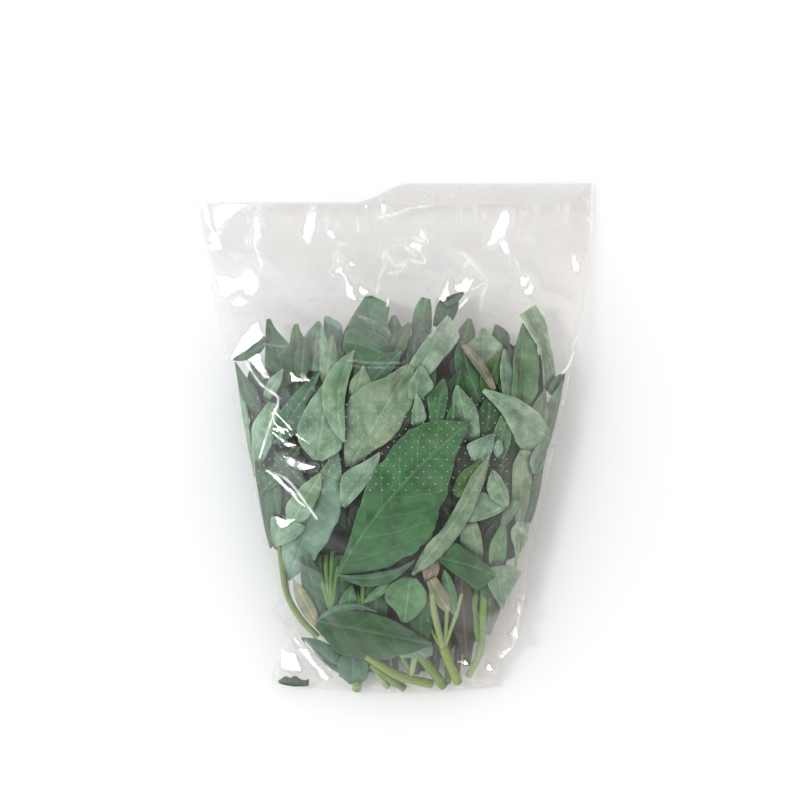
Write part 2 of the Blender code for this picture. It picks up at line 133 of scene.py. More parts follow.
def inside(x, y):
    """The lowest and highest point that the bunch may reach there."""
    low, high = end_pinch(*bag_heights(bag_u(x, y), y), y, x)
    gap = FILM_WALL + FILM_GAP
    middle = (low + high) / 2
    return np.minimum(low + gap, middle), np.maximum(high - gap, middle)


def kept_in(x, y):
    low, high = bag_x(-WIDEST_SHARE, y), bag_x(WIDEST_SHARE, y)
    nearest = np.clip(x, low, high)
    return nearest + SQUEEZE * (x - nearest)


def bottom_y(x):
    return STATIONS[0].y + BOTTOM_CORNER_RISE * (x / BOTTOM_HALF_WIDTH) ** 2


def mouth_y(u, upper):
    x = bag_x(u, UPPER_MOUTH_Y)
    lower = SHORT_LIP_Y + (LOWER_MOUTH_Y - SHORT_LIP_Y) * smoothstep(*LIP_STEP, x)
    if not upper:
        return lower
    return UPPER_MOUTH_Y + (lower - UPPER_MOUTH_Y) * smoothstep(*LIP_JOIN, np.abs(u))


# --- relief fields ----------------------------------------------------------------------
TABLE = 64
WARP_SHARE = 0.45
WARP_SIZE = 1.6


def lattice(x, y, size, seed):
    """The corner values and place within its cell of every point, on a wrapped lattice."""
    values = np.random.default_rng(seed).uniform(-1, 1, (TABLE, TABLE))
    i, j = np.floor(x / size).astype(int), np.floor(y / size).astype(int)
    fx, fy = x / size - i, y / size - j
    i0, j0, i1, j1 = i % TABLE, j % TABLE, (i + 1) % TABLE, (j + 1) % TABLE
    return values[i0, j0], values[i1, j0], values[i0, j1], values[i1, j1], fx, fy


def soft_noise(x, y, size, seed):
    a, b, c, d, fx, fy = lattice(x, y, size, seed)
    fx, fy = fx * fx * (3 - 2 * fx), fy * fy * (3 - 2 * fy)
    return a + (b - a) * fx + (c - a) * fy + (a - b - c + d) * fx * fy


def crumple(x, y, size, seed):
    """Flat triangular facets with sharp creases between them, on a warped lattice."""
    wx = x + WARP_SHARE * size * soft_noise(x, y, WARP_SIZE * size, seed + 1)
    wy = y + WARP_SHARE * size * soft_noise(x, y, WARP_SIZE * size, seed + 2)
    a, b, c, d, fx, fy = lattice(wx + 0.5 * wy, wy, size, seed)
    near = a + (b - a) * fx + (c - a) * fy
    far = d + (c - d) * (1 - fx) + (b - d) * (1 - fy)
    return np.where(fx + fy < 1, near, far)


Relief = namedtuple("Relief", "size seed height")


def waved(x, y, relief):
    return relief.height * soft_noise(x, y, relief.size, relief.seed)


def creased(x, y, relief):
    return relief.height * crumple(x, y, relief.size, relief.seed)


# --- making objects ---------------------------------------------------------------------
FIELDS = {"FLOAT": "value", "FLOAT_VECTOR": "vector", "FLOAT_COLOR": "color"}


def linked(name, data):
    """A new object that holds the data, in the scene."""
    thing = bpy.data.objects.new(name, data)
    bpy.context.scene.collection.objects.link(thing)
    return thing


def new_piece(name, points, faces, material, attributes=None):
    """A mesh object from points in millimetres. An attribute is its kind and its values."""
    mesh = bpy.data.meshes.new(name)
    mesh.from_pydata((np.asarray(points) * MM).tolist(), [], faces)
    for key, (kind, values) in (attributes or {}).items():
        layer = mesh.attributes.new(key, kind, "POINT")
        layer.data.foreach_set(FIELDS[kind], np.asarray(values, np.float32).ravel())
    mesh.shade_smooth()
    mesh.materials.append(material)
    return linked(name, mesh)


class Gathered:
    """Gathers the leaves or stems of one kind into one piece."""

    KINDS = {"place": "FLOAT_VECTOR", "tone": "FLOAT_COLOR", "rim": "FLOAT"}

    def __init__(self):
        self.points, self.faces, self.attributes = [], [], {}
        self.count = 0

    def keep(self, points, **attributes):
        """Keeps points with their attributes, and returns the number of the first."""
        first = self.count
        self.points.append(points)
        self.count += len(points)
        for key, values in attributes.items():
            self.attributes.setdefault(key, []).append(values)
        return first

    def piece(self, name, material):
        attributes = {key: (self.KINDS[key], np.concatenate(rows)) for key, rows in self.attributes.items()}
        return new_piece(name, np.concatenate(self.points), self.faces, material, attributes)


class Nodes:
    """The node tree of a material or a world, built by short calls."""

    def __init__(self, name, owners=None, output="OutputMaterial"):
        self.owner = (bpy.data.materials if owners is None else owners).new(name)
        self.owner.use_nodes = True
        self.output = output
        self.tree = self.owner.node_tree
        self.tree.nodes.clear()

    def add(self, kind, settings=None, **inputs):
        """A node and its inputs, which are named, with _ for a space, or i with a number."""
        node = self.tree.nodes.new("ShaderNode" + kind)
        for key, value in (settings or {}).items():
            setattr(node, key, value)
        for key, value in inputs.items():
            numbered = key[0] == "i" and key[1:].isdigit()
            socket = node.inputs[int(key[1:]) if numbered else key.replace("_", " ")]
            if hasattr(value, "is_output"):
                self.tree.links.new(value, socket)
            else:
                socket.default_value = value
        return node

    def math(self, operation, a, b=0.0, c=0.0):
        return self.add("Math", {"operation": operation}, i0=a, i1=b, i2=c).outputs[0]

    def times(self, a, b):
        return self.math("MULTIPLY", a, b)

    def plus(self, a, b):
        return self.math("ADD", a, b)

    def less(self, a, b):
        return self.math("SUBTRACT", a, b)

    def ramp(self, value, low, high, to_low=0.0, to_high=1.0):
        node = self.add("MapRange", {"interpolation_type": "SMOOTHSTEP"}, Value=value,
                        From_Min=low, From_Max=high, To_Min=to_low, To_Max=to_high)
        return node.outputs[0]

    def mix(self, factor, a, b, blend="MIX"):
        settings = {"data_type": "RGBA", "blend_type": blend}
        return self.add("Mix", settings, i0=factor, i6=a, i7=b).outputs[2]

    def scaled(self, colour, by):
        return self.mix(1.0, colour, by if hasattr(by, "is_output") else rgba(*by), "MULTIPLY")

    def noise(self, vector, scale, detail=2.0, roughness=0.5):
        node = self.add("TexNoise", Vector=vector, Scale=scale, Detail=detail, Roughness=roughness)
        return node.outputs["Fac"]

    def attribute(self, name, output="Fac"):
        return self.add("Attribute", {"attribute_name": name}).outputs[output]

    def place(self, output="Object"):
        return self.add("TexCoord").outputs[output]

    def parts(self, vector):
        return self.add("SeparateXYZ", Vector=vector).outputs[:3]

    def joined(self, x, y, z):
        return self.add("CombineXYZ", X=x, Y=y, Z=z).outputs[0]

    def bump(self, height, distance, strength=1.0):
        return self.add("Bump", Height=height, Distance=distance, Strength=strength).outputs[0]

    def painted(self, colour, roughness, **more):
        """Ends the material with one opaque surface."""
        return self.finish(self.add("BsdfPrincipled", Base_Color=colour, Roughness=roughness, **more))

    def finish(self, shader):
        out = self.add(self.output)
        self.tree.links.new(shader.outputs[0], out.inputs["Surface"])
        return self.owner


def rgba(red, green, blue):
    return (red, green, blue, 1.0)


def linear(tone):
    """A colour in 0 to 255 display values, as linear light."""
    share = np.asarray(tone, float) / 255
    return np.where(share <= 0.04045, share / 12.92, ((share + 0.055) / 1.055) ** 2.4)


# --- materials --------------------------------------------------------------------------
VEIN_SPACING = 13.0
VEIN_SLANT = 0.75
VEIN_BOW = 0.026
VEIN_WOBBLE = 3.0
SIDE_VEIN_HALF = 0.055  # as a share of the spacing
SIDE_VEIN_STRENGTH = (0.1, 0.75)  # at the rim, and well inside
MIDRIB_HALF = (0.3, 0.85)
SEED_SPREAD = 90.0  # so that no two leaves show the same part of a pattern
# A noise is set by its scale, its detail and its roughness.
BLOTCHES, GRAIN_NOISE, VEIN_CELLS = (0.1, 4.0, 0.62), (0.8, 3.0, 0.65), 0.75
PATCHES, WOBBLES = (0.055,), (0.12,)
# Tints of a leaf's own colour, and of the painted shade in a strip along its midrib.
LIGHTER, DARKER = (1.26, 1.2, 1.24), (0.62, 0.74, 0.68)
YELLOWER = (1.14, 0.98, 0.78)
MIDRIB_SHADE = (0.6, 0.72, 0.62)
GRAIN = ((0.6, 0.64, 0.6), (1.4, 1.36, 1.4))
VEIN_TINT, VEIN_ADDED = (1.6, 1.4, 1.55), (0.07, 0.08, 0.06)
LEAF_BUMP = 0.0003


def vein_phase(across, along_leaf, seed):
    """Whole numbers of this lie on the side veins: they leave the midrib and bow to the tip."""
    reach = np.abs(across)
    return (along_leaf - VEIN_SLANT * reach - VEIN_BOW * reach**2) / VEIN_SPACING + 0.5 * (across > 0) + seed


def vein_mask(n, spread, across, along_leaf, seed, rim):
    """1 on the midrib and less on the side veins, which wobble a little round vein_phase."""
    reach = n.math("ABSOLUTE", across)
    slant = n.math("MULTIPLY_ADD", reach, VEIN_SLANT, n.times(n.times(reach, reach), VEIN_BOW))
    wobble = n.math("MULTIPLY_ADD", n.noise(spread, *WOBBLES), VEIN_WOBBLE, -VEIN_WOBBLE / 2)
    phase = n.math("DIVIDE", n.plus(n.less(along_leaf, slant), wobble), VEIN_SPACING)
    half_turn = n.times(n.math("GREATER_THAN", across, 0.0), 0.5)
    phase = n.plus(n.plus(phase, half_turn), seed)
    off_vein = n.math("ABSOLUTE", n.less(n.math("FRACT", n.plus(phase, 0.5)), 0.5))
    side_vein = n.times(n.ramp(off_vein, 0.0, SIDE_VEIN_HALF, 1.0, 0.0),
                        n.ramp(rim, 0.5, 5.0, *SIDE_VEIN_STRENGTH))
    return n.math("MAXIMUM", side_vein, n.ramp(reach, *MIDRIB_HALF, 1.0, 0.0))


def leaf_colour(n, tone, spread, across, fine):
    """The tone with blotches, yellower patches, painted shade in a strip along the midrib, and grain."""
    blotch = n.ramp(n.noise(spread, *BLOTCHES), 0.36, 0.64)
    colour = n.mix(blotch, n.scaled(tone, LIGHTER), n.scaled(tone, DARKER))
    patch = n.ramp(n.noise(spread, *PATCHES), 0.52, 0.72, 0.0, 0.7)
    colour = n.mix(patch, colour, n.scaled(colour, YELLOWER))
    # painted shade beside the midrib's groove
    midrib_shade = n.ramp(n.math("ABSOLUTE", across), 0.6, 4.0, 0.45, 0.0)
    colour = n.mix(midrib_shade, colour, n.scaled(colour, MIDRIB_SHADE))
    return n.scaled(colour, n.mix(fine, *(rgba(*tint) for tint in GRAIN)))


def leaf_material(name, vein_light, gloss):
    """Leaf, from attributes: its tone, the place on it and the distance in from its rim."""
    n = Nodes(name)
    rim = n.attribute("rim")
    across, along_leaf, seed = n.parts(n.attribute("place", "Vector"))
    spread = n.joined(across, along_leaf, n.times(seed, SEED_SPREAD))
    fine = n.noise(spread, *GRAIN_NOISE)
    vein = vein_mask(n, spread, across, along_leaf, seed, rim)
    colour = leaf_colour(n, n.attribute("tone", "Color"), spread, across, fine)
    light = n.mix(1.0, n.scaled(colour, VEIN_TINT), rgba(*VEIN_ADDED), "ADD")
    colour = n.mix(n.times(vein, vein_light), colour, light)
    # a paler rim: partly the leaf's own paler edge, partly a painted highlight along it
    colour = n.mix(n.ramp(rim, 0.2, 0.5, 0.22, 0.0), colour, light)
    cells = n.add("TexVoronoi", {"feature": "F1"}, Vector=spread, Scale=VEIN_CELLS).outputs["Distance"]
    height = n.math("MULTIPLY_ADD", vein, -0.6, n.times(cells, 0.35))
    height = n.plus(height, n.times(fine, 0.4))
    roughness = n.ramp(fine, 0.2, 0.8, gloss - 0.06, gloss + 0.1)
    return n.painted(colour, roughness, Normal=n.bump(height, LEAF_BUMP, 0.8))


STEM_STREAKS = ((0.7, 0.76, 0.6), (1.3, 1.24, 1.25))
STEM_MOTTLE = (1.0, 0.78, 0.6)
STEM_STRETCH = 0.06  # the streaks are this much finer across the stem than along it
STREAK_NOISE, MOTTLE_NOISE = (1.6, 3.0, 0.6), (0.5,)


def stem_material():
    """Stem, streaked along its length, from its tone and the place on it."""
    n = Nodes("stem")
    around, along_stem, seed = n.parts(n.attribute("place", "Vector"))
    streak = n.noise(n.joined(around, n.times(along_stem, STEM_STRETCH), seed), *STREAK_NOISE)
    mottle = n.noise(n.joined(around, along_stem, seed), *MOTTLE_NOISE)
    colour = n.scaled(n.attribute("tone", "Color"), n.mix(streak, *(rgba(*tint) for tint in STEM_STREAKS)))
    colour = n.mix(n.ramp(mottle, 0.55, 0.8, 0.0, 0.5), colour, n.scaled(colour, STEM_MOTTLE))
    roughness = n.ramp(streak, 0.2, 0.8, 0.35, 0.5)
    return n.painted(colour, roughness, Normal=n.bump(streak, LEAF_BUMP, 0.6))


CORE_NOISE, CORE_BUMP = (90.0, 4.0, 0.65), 0.002
# near black: painted shade of the inner leaves
CORE_TONES = ((0.012, 0.009, 0.007), (0.022, 0.045, 0.018))


def core_material():
    """The painted shade deep in the bunch, on a body that stands for the inner leaves."""
    n = Nodes("inner_leaves_painted_shade")
    patch = n.noise(n.place(), *CORE_NOISE)
    colour = n.mix(n.ramp(patch, 0.35, 0.65), *(rgba(*tone) for tone in CORE_TONES))
    return n.painted(colour, n.ramp(patch, 0.3, 0.7, 0.55, 0.8), Normal=n.bump(patch, CORE_BUMP))


HOLE_PITCH = 5.85
HOLE_ROW = 3.0
HOLE_RADIUS = 0.25
HOLE_Y = (-27.0, 21.0)
HOLE_X = (-73.0, 56.0)


def hole_mask(n, x, y):
    """1 on the small holes: staggered rows in one band across the film."""
    row = n.math("DIVIDE", y, HOLE_ROW * MM)
    stagger = n.times(n.math("FLOORED_MODULO", n.math("FLOOR", row), 2.0), 0.5)
    column = n.plus(n.math("DIVIDE", x, HOLE_PITCH * MM), stagger)
    squares = []
    for cell, size in ((column, HOLE_PITCH), (row, HOLE_ROW)):
        off_centre = n.times(n.less(n.math("FRACT", cell), 0.5), size)
        squares.append(n.times(off_centre, off_centre))
    mask = n.ramp(n.math("SQRT", n.plus(*squares)), HOLE_RADIUS, HOLE_RADIUS * 2, 1.0, 0.0)
    for value, (low, high) in ((y, HOLE_Y), (x, HOLE_X)):
        mask = n.times(mask, n.math("GREATER_THAN", value, low * MM))
        mask = n.times(mask, n.math("LESS_THAN", value, high * MM))
    return mask


CLEAR = rgba(0.998, 0.991, 0.986)
WHITENED_AND_PAINTED_GLINT = rgba(0.97, 0.98, 0.98)
# The haze is lighter and bluer towards the left: a painted reflection of the brighter light from that side.
LEFT_CLOUD_PAINTED_LIGHT, CLOUD = rgba(0.8, 0.86, 0.87), rgba(0.72, 0.69, 0.67)
PAINTED_LIGHT_EDGE = (-0.085, -0.05)  # where along X, in metres, the one turns into the other
# How much of the light stops at the film: where it is faintly cloudy, hazy, and at a hole.
CLOUD_VEIL = (0.003, 0.034)
HAZE_VEIL = 0.16
HOLE_VEIL = 0.36
FACING_MIRROR = 0.06  # what both faces of the film mirror when seen square on
CLOUDS, WEAR, RIPPLES = (22.0, 4.0, 0.6), (170.0, 3.0, 0.6), (55.0,)
RIPPLE_STRENGTH = 0.25
FACET_RIPPLE = 0.03
RIPPLE_HEIGHT = 0.0015
GLOSS_ROUGHNESS = (0.05, 0.34)  # of clean film, and of its finely creased patches
WORN_PATCHES = (0.5, 0.7)
RIM_ROUGHNESS = 0.26  # more, half-way out of a flat facet


def film_material():
    """Clear film, from attributes: how hazy, how white in a fold (partly whitened film, partly a painted
    glint), and how near a flat facet.
    """
    n = Nodes("clear_film")
    where = n.place()
    x, y, _ = n.parts(where)
    white, facet = n.attribute("white"), n.attribute("facet")
    veil = n.ramp(n.noise(where, *CLOUDS), 0.35, 0.75, *CLOUD_VEIL)
    veil = n.plus(veil, n.times(n.attribute("haze"), HAZE_VEIL))
    veil = n.math("MAXIMUM", veil, n.times(hole_mask(n, x, y), HOLE_VEIL))
    veil = n.math("MAXIMUM", veil, white)
    # painted reflection: the haze turns lighter and bluer towards the left
    tint = n.mix(n.ramp(x, *PAINTED_LIGHT_EDGE), LEFT_CLOUD_PAINTED_LIGHT, CLOUD)
    # white folds: partly whitened creased film, partly painted glints
    tint = n.mix(n.ramp(white, 0.0, 0.2), tint, WHITENED_AND_PAINTED_GLINT)
    clear, cloudy = n.add("BsdfTransparent", Color=CLEAR), n.add("BsdfDiffuse", Color=tint)
    body = n.add("MixShader", i0=veil, i1=clear.outputs[0], i2=cloudy.outputs[0])

    ripple = n.ramp(facet, 0.0, 0.5, RIPPLE_STRENGTH, FACET_RIPPLE)
    worn = n.ramp(n.noise(where, *WEAR), *WORN_PATCHES, *GLOSS_ROUGHNESS)
    rim = n.times(facet, n.less(1.0, facet))
    gloss = n.add("BsdfGlossy", Color=rgba(1, 1, 1),
                  Roughness=n.math("MULTIPLY_ADD", rim, 4 * RIM_ROUGHNESS, worn),
                  Normal=n.bump(n.noise(where, *RIPPLES), RIPPLE_HEIGHT, ripple))
    grazing = n.math("POWER", n.add("LayerWeight", Blend=0.5).outputs["Facing"], 5.0)
    mirror = n.math("MULTIPLY_ADD", grazing, 1 - FACING_MIRROR, FACING_MIRROR)
    return n.finish(n.add("MixShader", i0=mirror, i1=body.outputs[0], i2=gloss.outputs[0]))


# --- the film ---------------------------------------------------------------------------
FILM_COLUMNS = 250
FILM_ROWS = 300
Ear = namedtuple("Ear", "y offset")
LEFT_EARS = (Ear(-127, 0), Ear(-117, -0.6), Ear(-101, 1.8), Ear(-94, 3.2), Ear(-90, -0.8),
             Ear(-86, -1.6), Ear(-80, 2.0), Ear(-75, 2.6), Ear(-66, 0))
RIGHT_EARS = (Ear(-127, 0), Ear(-119, -1.2), Ear(-110, -2.2), Ear(-104, 0.6), Ear(-96, 0.4),
              Ear(-88, -0.6), Ear(-80, 0.9), Ear(-70, 0), Ear(-60, -0.8), Ear(-50, 0))
CROWDED = 0.45  # how much closer the columns stand at the sides
LIP_HAZE = 1.6
LIP_STREAKS = 0.3
SIDE_HAZE = 1.5  # of the slack film beside the stems on the right
LOWER_STRIDE = 2  # the lower layer has every second row and column
GLARE_SLOPE = (0.3, -0.08)  # of a facet at the origin that shows the window from straight above

# Flat facets of the film that catch the window: their corners in plan.
FACETS = (
    # the empty upper part, from left to right
    ((-89, 115), (-81, 117), (-73.5, 115.2), (-79, 112.7), (-84, 109), (-89, 104.5)),
    ((-88, 80.5), (-79.5, 78.7), (-75, 81), (-73, 84.7), (-71, 84.5), (-67.5, 80.5), (-68, 74.5),
     (-71, 70.7), (-74, 71.7), (-76, 74.5), (-85, 70.7)),
    ((-79.5, 66.5), (-76.5, 70), (-73.5, 66.7)),
    ((-68.6, 109.5), (-66.8, 106), (-67.8, 98.5), (-69.2, 96.5), (-68.6, 103)),
    ((-39.2, 113.3), (-40.4, 102), (-42.3, 98), (-46.3, 99.8), (-43.8, 101.6), (-44.6, 105.3),
     (-42, 109)),
    ((-27.8, 90), (-24.2, 84), (-20, 77.5), (-12.5, 72.3), (-15.5, 71), (-20, 75.5), (-22, 78.2),
     (-25, 82)),
    ((-29.2, 83.2), (-26.5, 85), (-23.5, 80), (-21.5, 76), (-18.4, 69), (-21.2, 69.3), (-24, 75.5),
     (-26.4, 81)),
    ((-5.2, 122), (-3.4, 121), (-3.6, 114), (-5.6, 112)),
    ((14.2, 126), (17.1, 126), (17.3, 118), (15, 119)),
    ((26.4, 126.5), (29.1, 126.5), (28, 120), (26.4, 118)),
    ((14, 103.2), (17.4, 97.4), (15.6, 97.5), (13, 100.6)),
    ((8, 96), (13.8, 96), (13.2, 94), (8.6, 94.4)),
    ((28, 80.3), (26.9, 77.5), (22, 67), (23.8, 67), (27.3, 71), (30, 73), (30, 75), (28.8, 77.5)),
    ((30, 75.2), (35.5, 76.5), (34.3, 78.4), (39.2, 79.4), (38.2, 76), (36.5, 72.8), (33, 73), (30, 73)),
    ((55.5, 113.5), (57.2, 111.5), (56.6, 106.5), (54, 101.5), (50, 96.5), (46.8, 96.4), (48.5, 100.5),
     (52, 106), (54.2, 111.5)),
    ((53, 97.7), (55.2, 96.5), (57.6, 92.2), (55.8, 92.6), (53.6, 95.3)),
    ((64, 79.5), (68, 78.8), (69.7, 77.2), (66, 75.3), (62.8, 75.5)),
    ((68.8, 76.2), (69.2, 74.5), (67, 71.4), (64.8, 71.6), (65.6, 73.8)),
    ((90.4, 91.3), (91.4, 87), (92.5, 82.8), (90, 82.8), (88.8, 87)),
    # over the leaves on the left
    ((-80.5, 39), (-68, 58), (-65.5, 50), (-74, 43)),
    ((-71.5, 38.5), (-67.5, 41.5), (-65, 37), (-62.5, 29.5), (-67, 34.5)),
    ((-61.5, -17), (-58.5, -18), (-51, -26), (-44, -34), (-53, -25)),
    ((-58.5, -39), (-54, -41.5), (-49.5, -40), (-52.5, -44), (-56.5, -45)),
    ((-54, -8), (-46, -12.5), (-38, -13.5), (-44.5, -15.3), (-51.5, -12.5)),
    # the lower corners
    ((-57, -105), (-50, -108), (-47, -116), (-55, -114)),
    ((-50, -100), (-42, -109), (-33, -119), (-34, -119.5), (-44, -109)),
    ((48, -113), (50, -115), (47, -116)),
    ((62, -82), (63.5, -87), (61.5, -86)),
    ((60, -94), (61, -100), (58.5, -98)),
    ((34, -111), (37, -112), (35, -113)),
)
# Thin folds drawn white, partly as creased film that has turned white and partly as painted glints along
# them: how white, half their width, and their route.
Fold = namedtuple("Fold", "white half route")
FOLDS_AND_PAINTED_GLINTS = (
    Fold(0.8, 0.6, ((-69.5, 95.5), (-67.2, 90.5), (-66, 85))),
    Fold(0.7, 0.5, ((-70.4, 105), (-71.6, 101.7), (-71.8, 95.5))),
    Fold(0.7, 0.5, ((-74, 101), (-73.3, 96.5))),
    Fold(0.5, 0.5, ((-73, 110), (-72.5, 107))),
    Fold(0.5, 0.5, ((-81, 91), (-78.5, 88.8), (-76.5, 90.5))),
    Fold(0.4, 0.6, ((-65.8, 115), (-64.6, 111.5))),
    Fold(0.4, 0.7, ((-18.4, 110), (-17.4, 101.5))),
    Fold(0.75, 0.5, ((-8.5, 109.7), (0, 111.2), (8, 114.3), (19, 115.7))),
    Fold(0.4, 0.9, ((-1, 95.7), (-5.5, 90.7), (-4.5, 85.7), (-7, 80.7), (-8.5, 71.7))),
    Fold(0.8, 0.5, ((-3, 68.9), (-3.5, 65))),
    Fold(0.6, 0.6, ((-1, 95.8), (5, 95.7), (7.5, 92.7), (10.8, 90.5))),
    Fold(0.6, 0.6, ((12, 94), (14.5, 90.7), (15.6, 87.2), (10.5, 87.7), (7.5, 88.7), (4, 83.7), (0, 81))),
    Fold(0.45, 0.8, ((-3, 91), (1, 85.2), (7.5, 88.7))),
    Fold(0.8, 0.6, ((-2.6, 81.6), (1.4, 82.8))),
    Fold(0.55, 0.5, ((10, 99.8), (16, 97.8))),
    Fold(0.4, 0.9, ((34, 92), (37, 88.5), (35, 85))),
    Fold(0.35, 1.1, ((36, 90), (41, 84), (46, 77.5), (43.6, 70), (43, 63.5))),
    Fold(0.8, 0.5, ((38.6, 73.2), (45, 77.2))),
    Fold(0.85, 0.6, ((32.5, 64.8), (36.2, 68.6))),
    Fold(0.6, 0.5, ((58, 90), (57, 85.6))),
    Fold(0.7, 0.5, ((60, 88.9), (62.2, 84.5), (63, 79.6))),
    Fold(0.5, 0.5, ((42, 113.4), (46, 109.4))),
    Fold(0.5, 0.5, ((63, 113), (64.2, 111))),
    Fold(0.5, 0.5, ((65.2, 113), (66.2, 110.4))),
    Fold(0.4, 0.6, ((67, 127), (68.2, 122.6))),
    Fold(0.4, 0.8, ((77.5, 126), (79.5, 123.6), (79.2, 119), (82, 118.2))),
    Fold(0.35, 1.0, ((43, 127), (44, 119))),
    Fold(0.5, 0.7, ((96.6, 118.8), (98, 114.2))),
    Fold(0.6, 0.6, ((96.6, 109.8), (98, 108.2))),
    Fold(0.9, 0.5, ((83.5, 32), (86.5, 35.5), (89.6, 43))),
    Fold(0.6, 0.5, ((88.4, 44), (90, 48), (92.6, 52))),
    # over the leaves
    Fold(0.2, 0.5, ((-24, 38.5), (-7, 36.8), (6, 37.6))),
    Fold(0.2, 0.5, ((-32, 37.6), (-14, 34.8), (6, 34.6))),
    Fold(0.22, 0.45, ((-27, 63.7), (-7, 56.2), (0, 48.8))),
    Fold(0.2, 0.45, ((-64.5, 46.2), (-47, 44.8))),
    Fold(0.95, 0.5, ((-73.5, 37.8), (-66, 26.8), (-57, 19.8), (-59, 12.8), (-62, 3.8), (-66.5, -9.8))),
    Fold(0.9, 0.5, ((-63, -16.2), (-52, -21.2), (-38, -39.8))),
    Fold(0.8, 0.5, ((-49.5, -100), (-33, -118.8))),
    Fold(0.7, 0.5, ((-44.5, -101.2), (-32, -115.2))),
    Fold(0.45, 0.7, ((64.5, -79), (62.5, -88), (60, -101), (57, -112))),
    Fold(0.5, 0.5, ((32, -111), (36, -112.6))),
)


OUTLINE_WOBBLE = 0.9
WOBBLE_SIZE = 3.6
# A facet's smooth look and its slope set in between these distances in from its outline.
SHEEN_RIM = (-2.8, 0.2)
SLOPE_RIM = (-2.0, -0.9)


def segment_distance(x, y, a, b):
    dx, dy = b[0] - a[0], b[1] - a[1]
    share = np.clip(((x - a[0]) * dx + (y - a[1]) * dy) / (dx * dx + dy * dy), 0, 1)
    return np.hypot(x - a[0] - share * dx, y - a[1] - share * dy)


def in_polygon(x, y, corners):
    """The distance in from a polygon's edge, below zero outside it."""
    sides = list(zip(corners, corners[1:] + corners[:1]))
    inside_it = np.zeros_like(x, bool)
    for a, b in sides:
        crosses = (a[1] > y) != (b[1] > y)
        rise = (b[1] - a[1]) or 1  # a level side crosses nothing
        inside_it ^= crosses & (x < a[0] + (y - a[1]) * (b[0] - a[0]) / rise)
    nearest = np.minimum.reduce([segment_distance(x, y, a, b) for a, b in sides])
    return np.where(inside_it, nearest, -nearest)


def facet_depths(x, y):
    """The distance in from each facet's edge, which is a little uneven."""
    x, y = (x + OUTLINE_WOBBLE * soft_noise(x, y, WOBBLE_SIZE, 161),
            y + OUTLINE_WOBBLE * soft_noise(x, y, WOBBLE_SIZE, 171))
    return [in_polygon(x, y, corners) for corners in FACETS]


def facet_share(x, y):
    """1 on the flat facets, which the film's fine crinkles leave smooth."""
    return smoothstep(*SHEEN_RIM, np.maximum.reduce(facet_depths(x, y)))


CREASES = (Relief(26, 11, 1.4), Relief(13, 21, 0.8), Relief(6.0, 31, 0.32))
WAVES = Relief(34, 41, 0.7)
STREAKS, STREAK_STRETCH = Relief(3.2, 51, 0.5), 0.12
LOWER_CREASES, LOWER_WAVES = Relief(17, 61, 0.3), Relief(30, 71, 0.2)
LEAST_LIFT, LOWER_LIFT = 0.8, 0.25
FULL_ROOM = 9  # where the bag is thinner than this, its crinkles are lower
EMPTY_Y = (55, 80)  # the waves grow to twice their height along here, over the empty part
STREAK_Y = (100, 120)  # the streaks set in along here, towards the mouth
# Over the bunch, but for its left side, the film is smoother by this share.
TAUT_X, TAUT_Y, TAUT_SHARE = (-45, -20), (62, 44), 0.65


def film_wrinkles(x, y, room):
    """The upper layer's crinkles, where room is the bag's thickness there."""
    broad = sum(creased(x, y, relief) for relief in CREASES)
    soft = waved(x, y, WAVES) * (1 + smoothstep(*EMPTY_Y, y))
    streaks = waved(x, y * STREAK_STRETCH, STREAKS) * smoothstep(*STREAK_Y, y)
    taut = 1 - TAUT_SHARE * smoothstep(*TAUT_X, x) * smoothstep(*TAUT_Y, y)
    return (LEAST_LIFT + broad * taut + soft + streaks) * np.clip(room / FULL_ROOM, 0, 1)


def lower_wrinkles(x, y, room):
    lift = LOWER_LIFT + creased(x, y, LOWER_CREASES) + waved(x, y, LOWER_WAVES)
    return lift * np.clip(room / FULL_ROOM, 0, 1)


HIGHEST_LIFT = 3.0  # how far a facet may stand off the bunch


def glare_slope(x, y):
    """The slope of a facet there that mirrors the window to a viewer at the camera's place."""
    place = np.array([x, y, 0.0]) * MM
    halfway = np.zeros(3)
    for far in (mirrored_up(GLARE_SLOPE) * WINDOW_DISTANCE, np.array([*VIEW_CENTRE, CAMERA_HEIGHT])):
        halfway += (far - place) / np.linalg.norm(far - place)
    return -halfway[0] / halfway[2], -halfway[1] / halfway[2]


def with_facets(x, y, z, lowest):
    """Flattens the film over each facet, to the slope that shows the window."""
    for corners, depth in zip(FACETS, facet_depths(x, y)):
        weight = smoothstep(*SLOPE_RIM, depth)
        near = weight > 0
        if not near.any():
            continue
        cx, cy = np.mean(corners, axis=0)
        middle = (z[near] * weight[near]).sum() / weight[near].sum()
        slope = glare_slope(cx, cy)
        plane = middle + slope[0] * (x - cx) + slope[1] * (y - cy)
        short_by = (lowest - plane)[weight > 0.5]
        plane += np.clip(short_by.max() if short_by.size else 0.0, 0.0, HIGHEST_LIFT)
        z = z + (plane - z) * weight
    return z


FOLD_STEP = 3.0
FOLD_EDGE = (1.6, 0.2)  # a fold's white goes from nothing to full here, in shares of its half width
FAINTEST_FOLD_SHARE = 0.45  # how much of its white is left in its faintest stretches
LIP_Y = (101, 114)


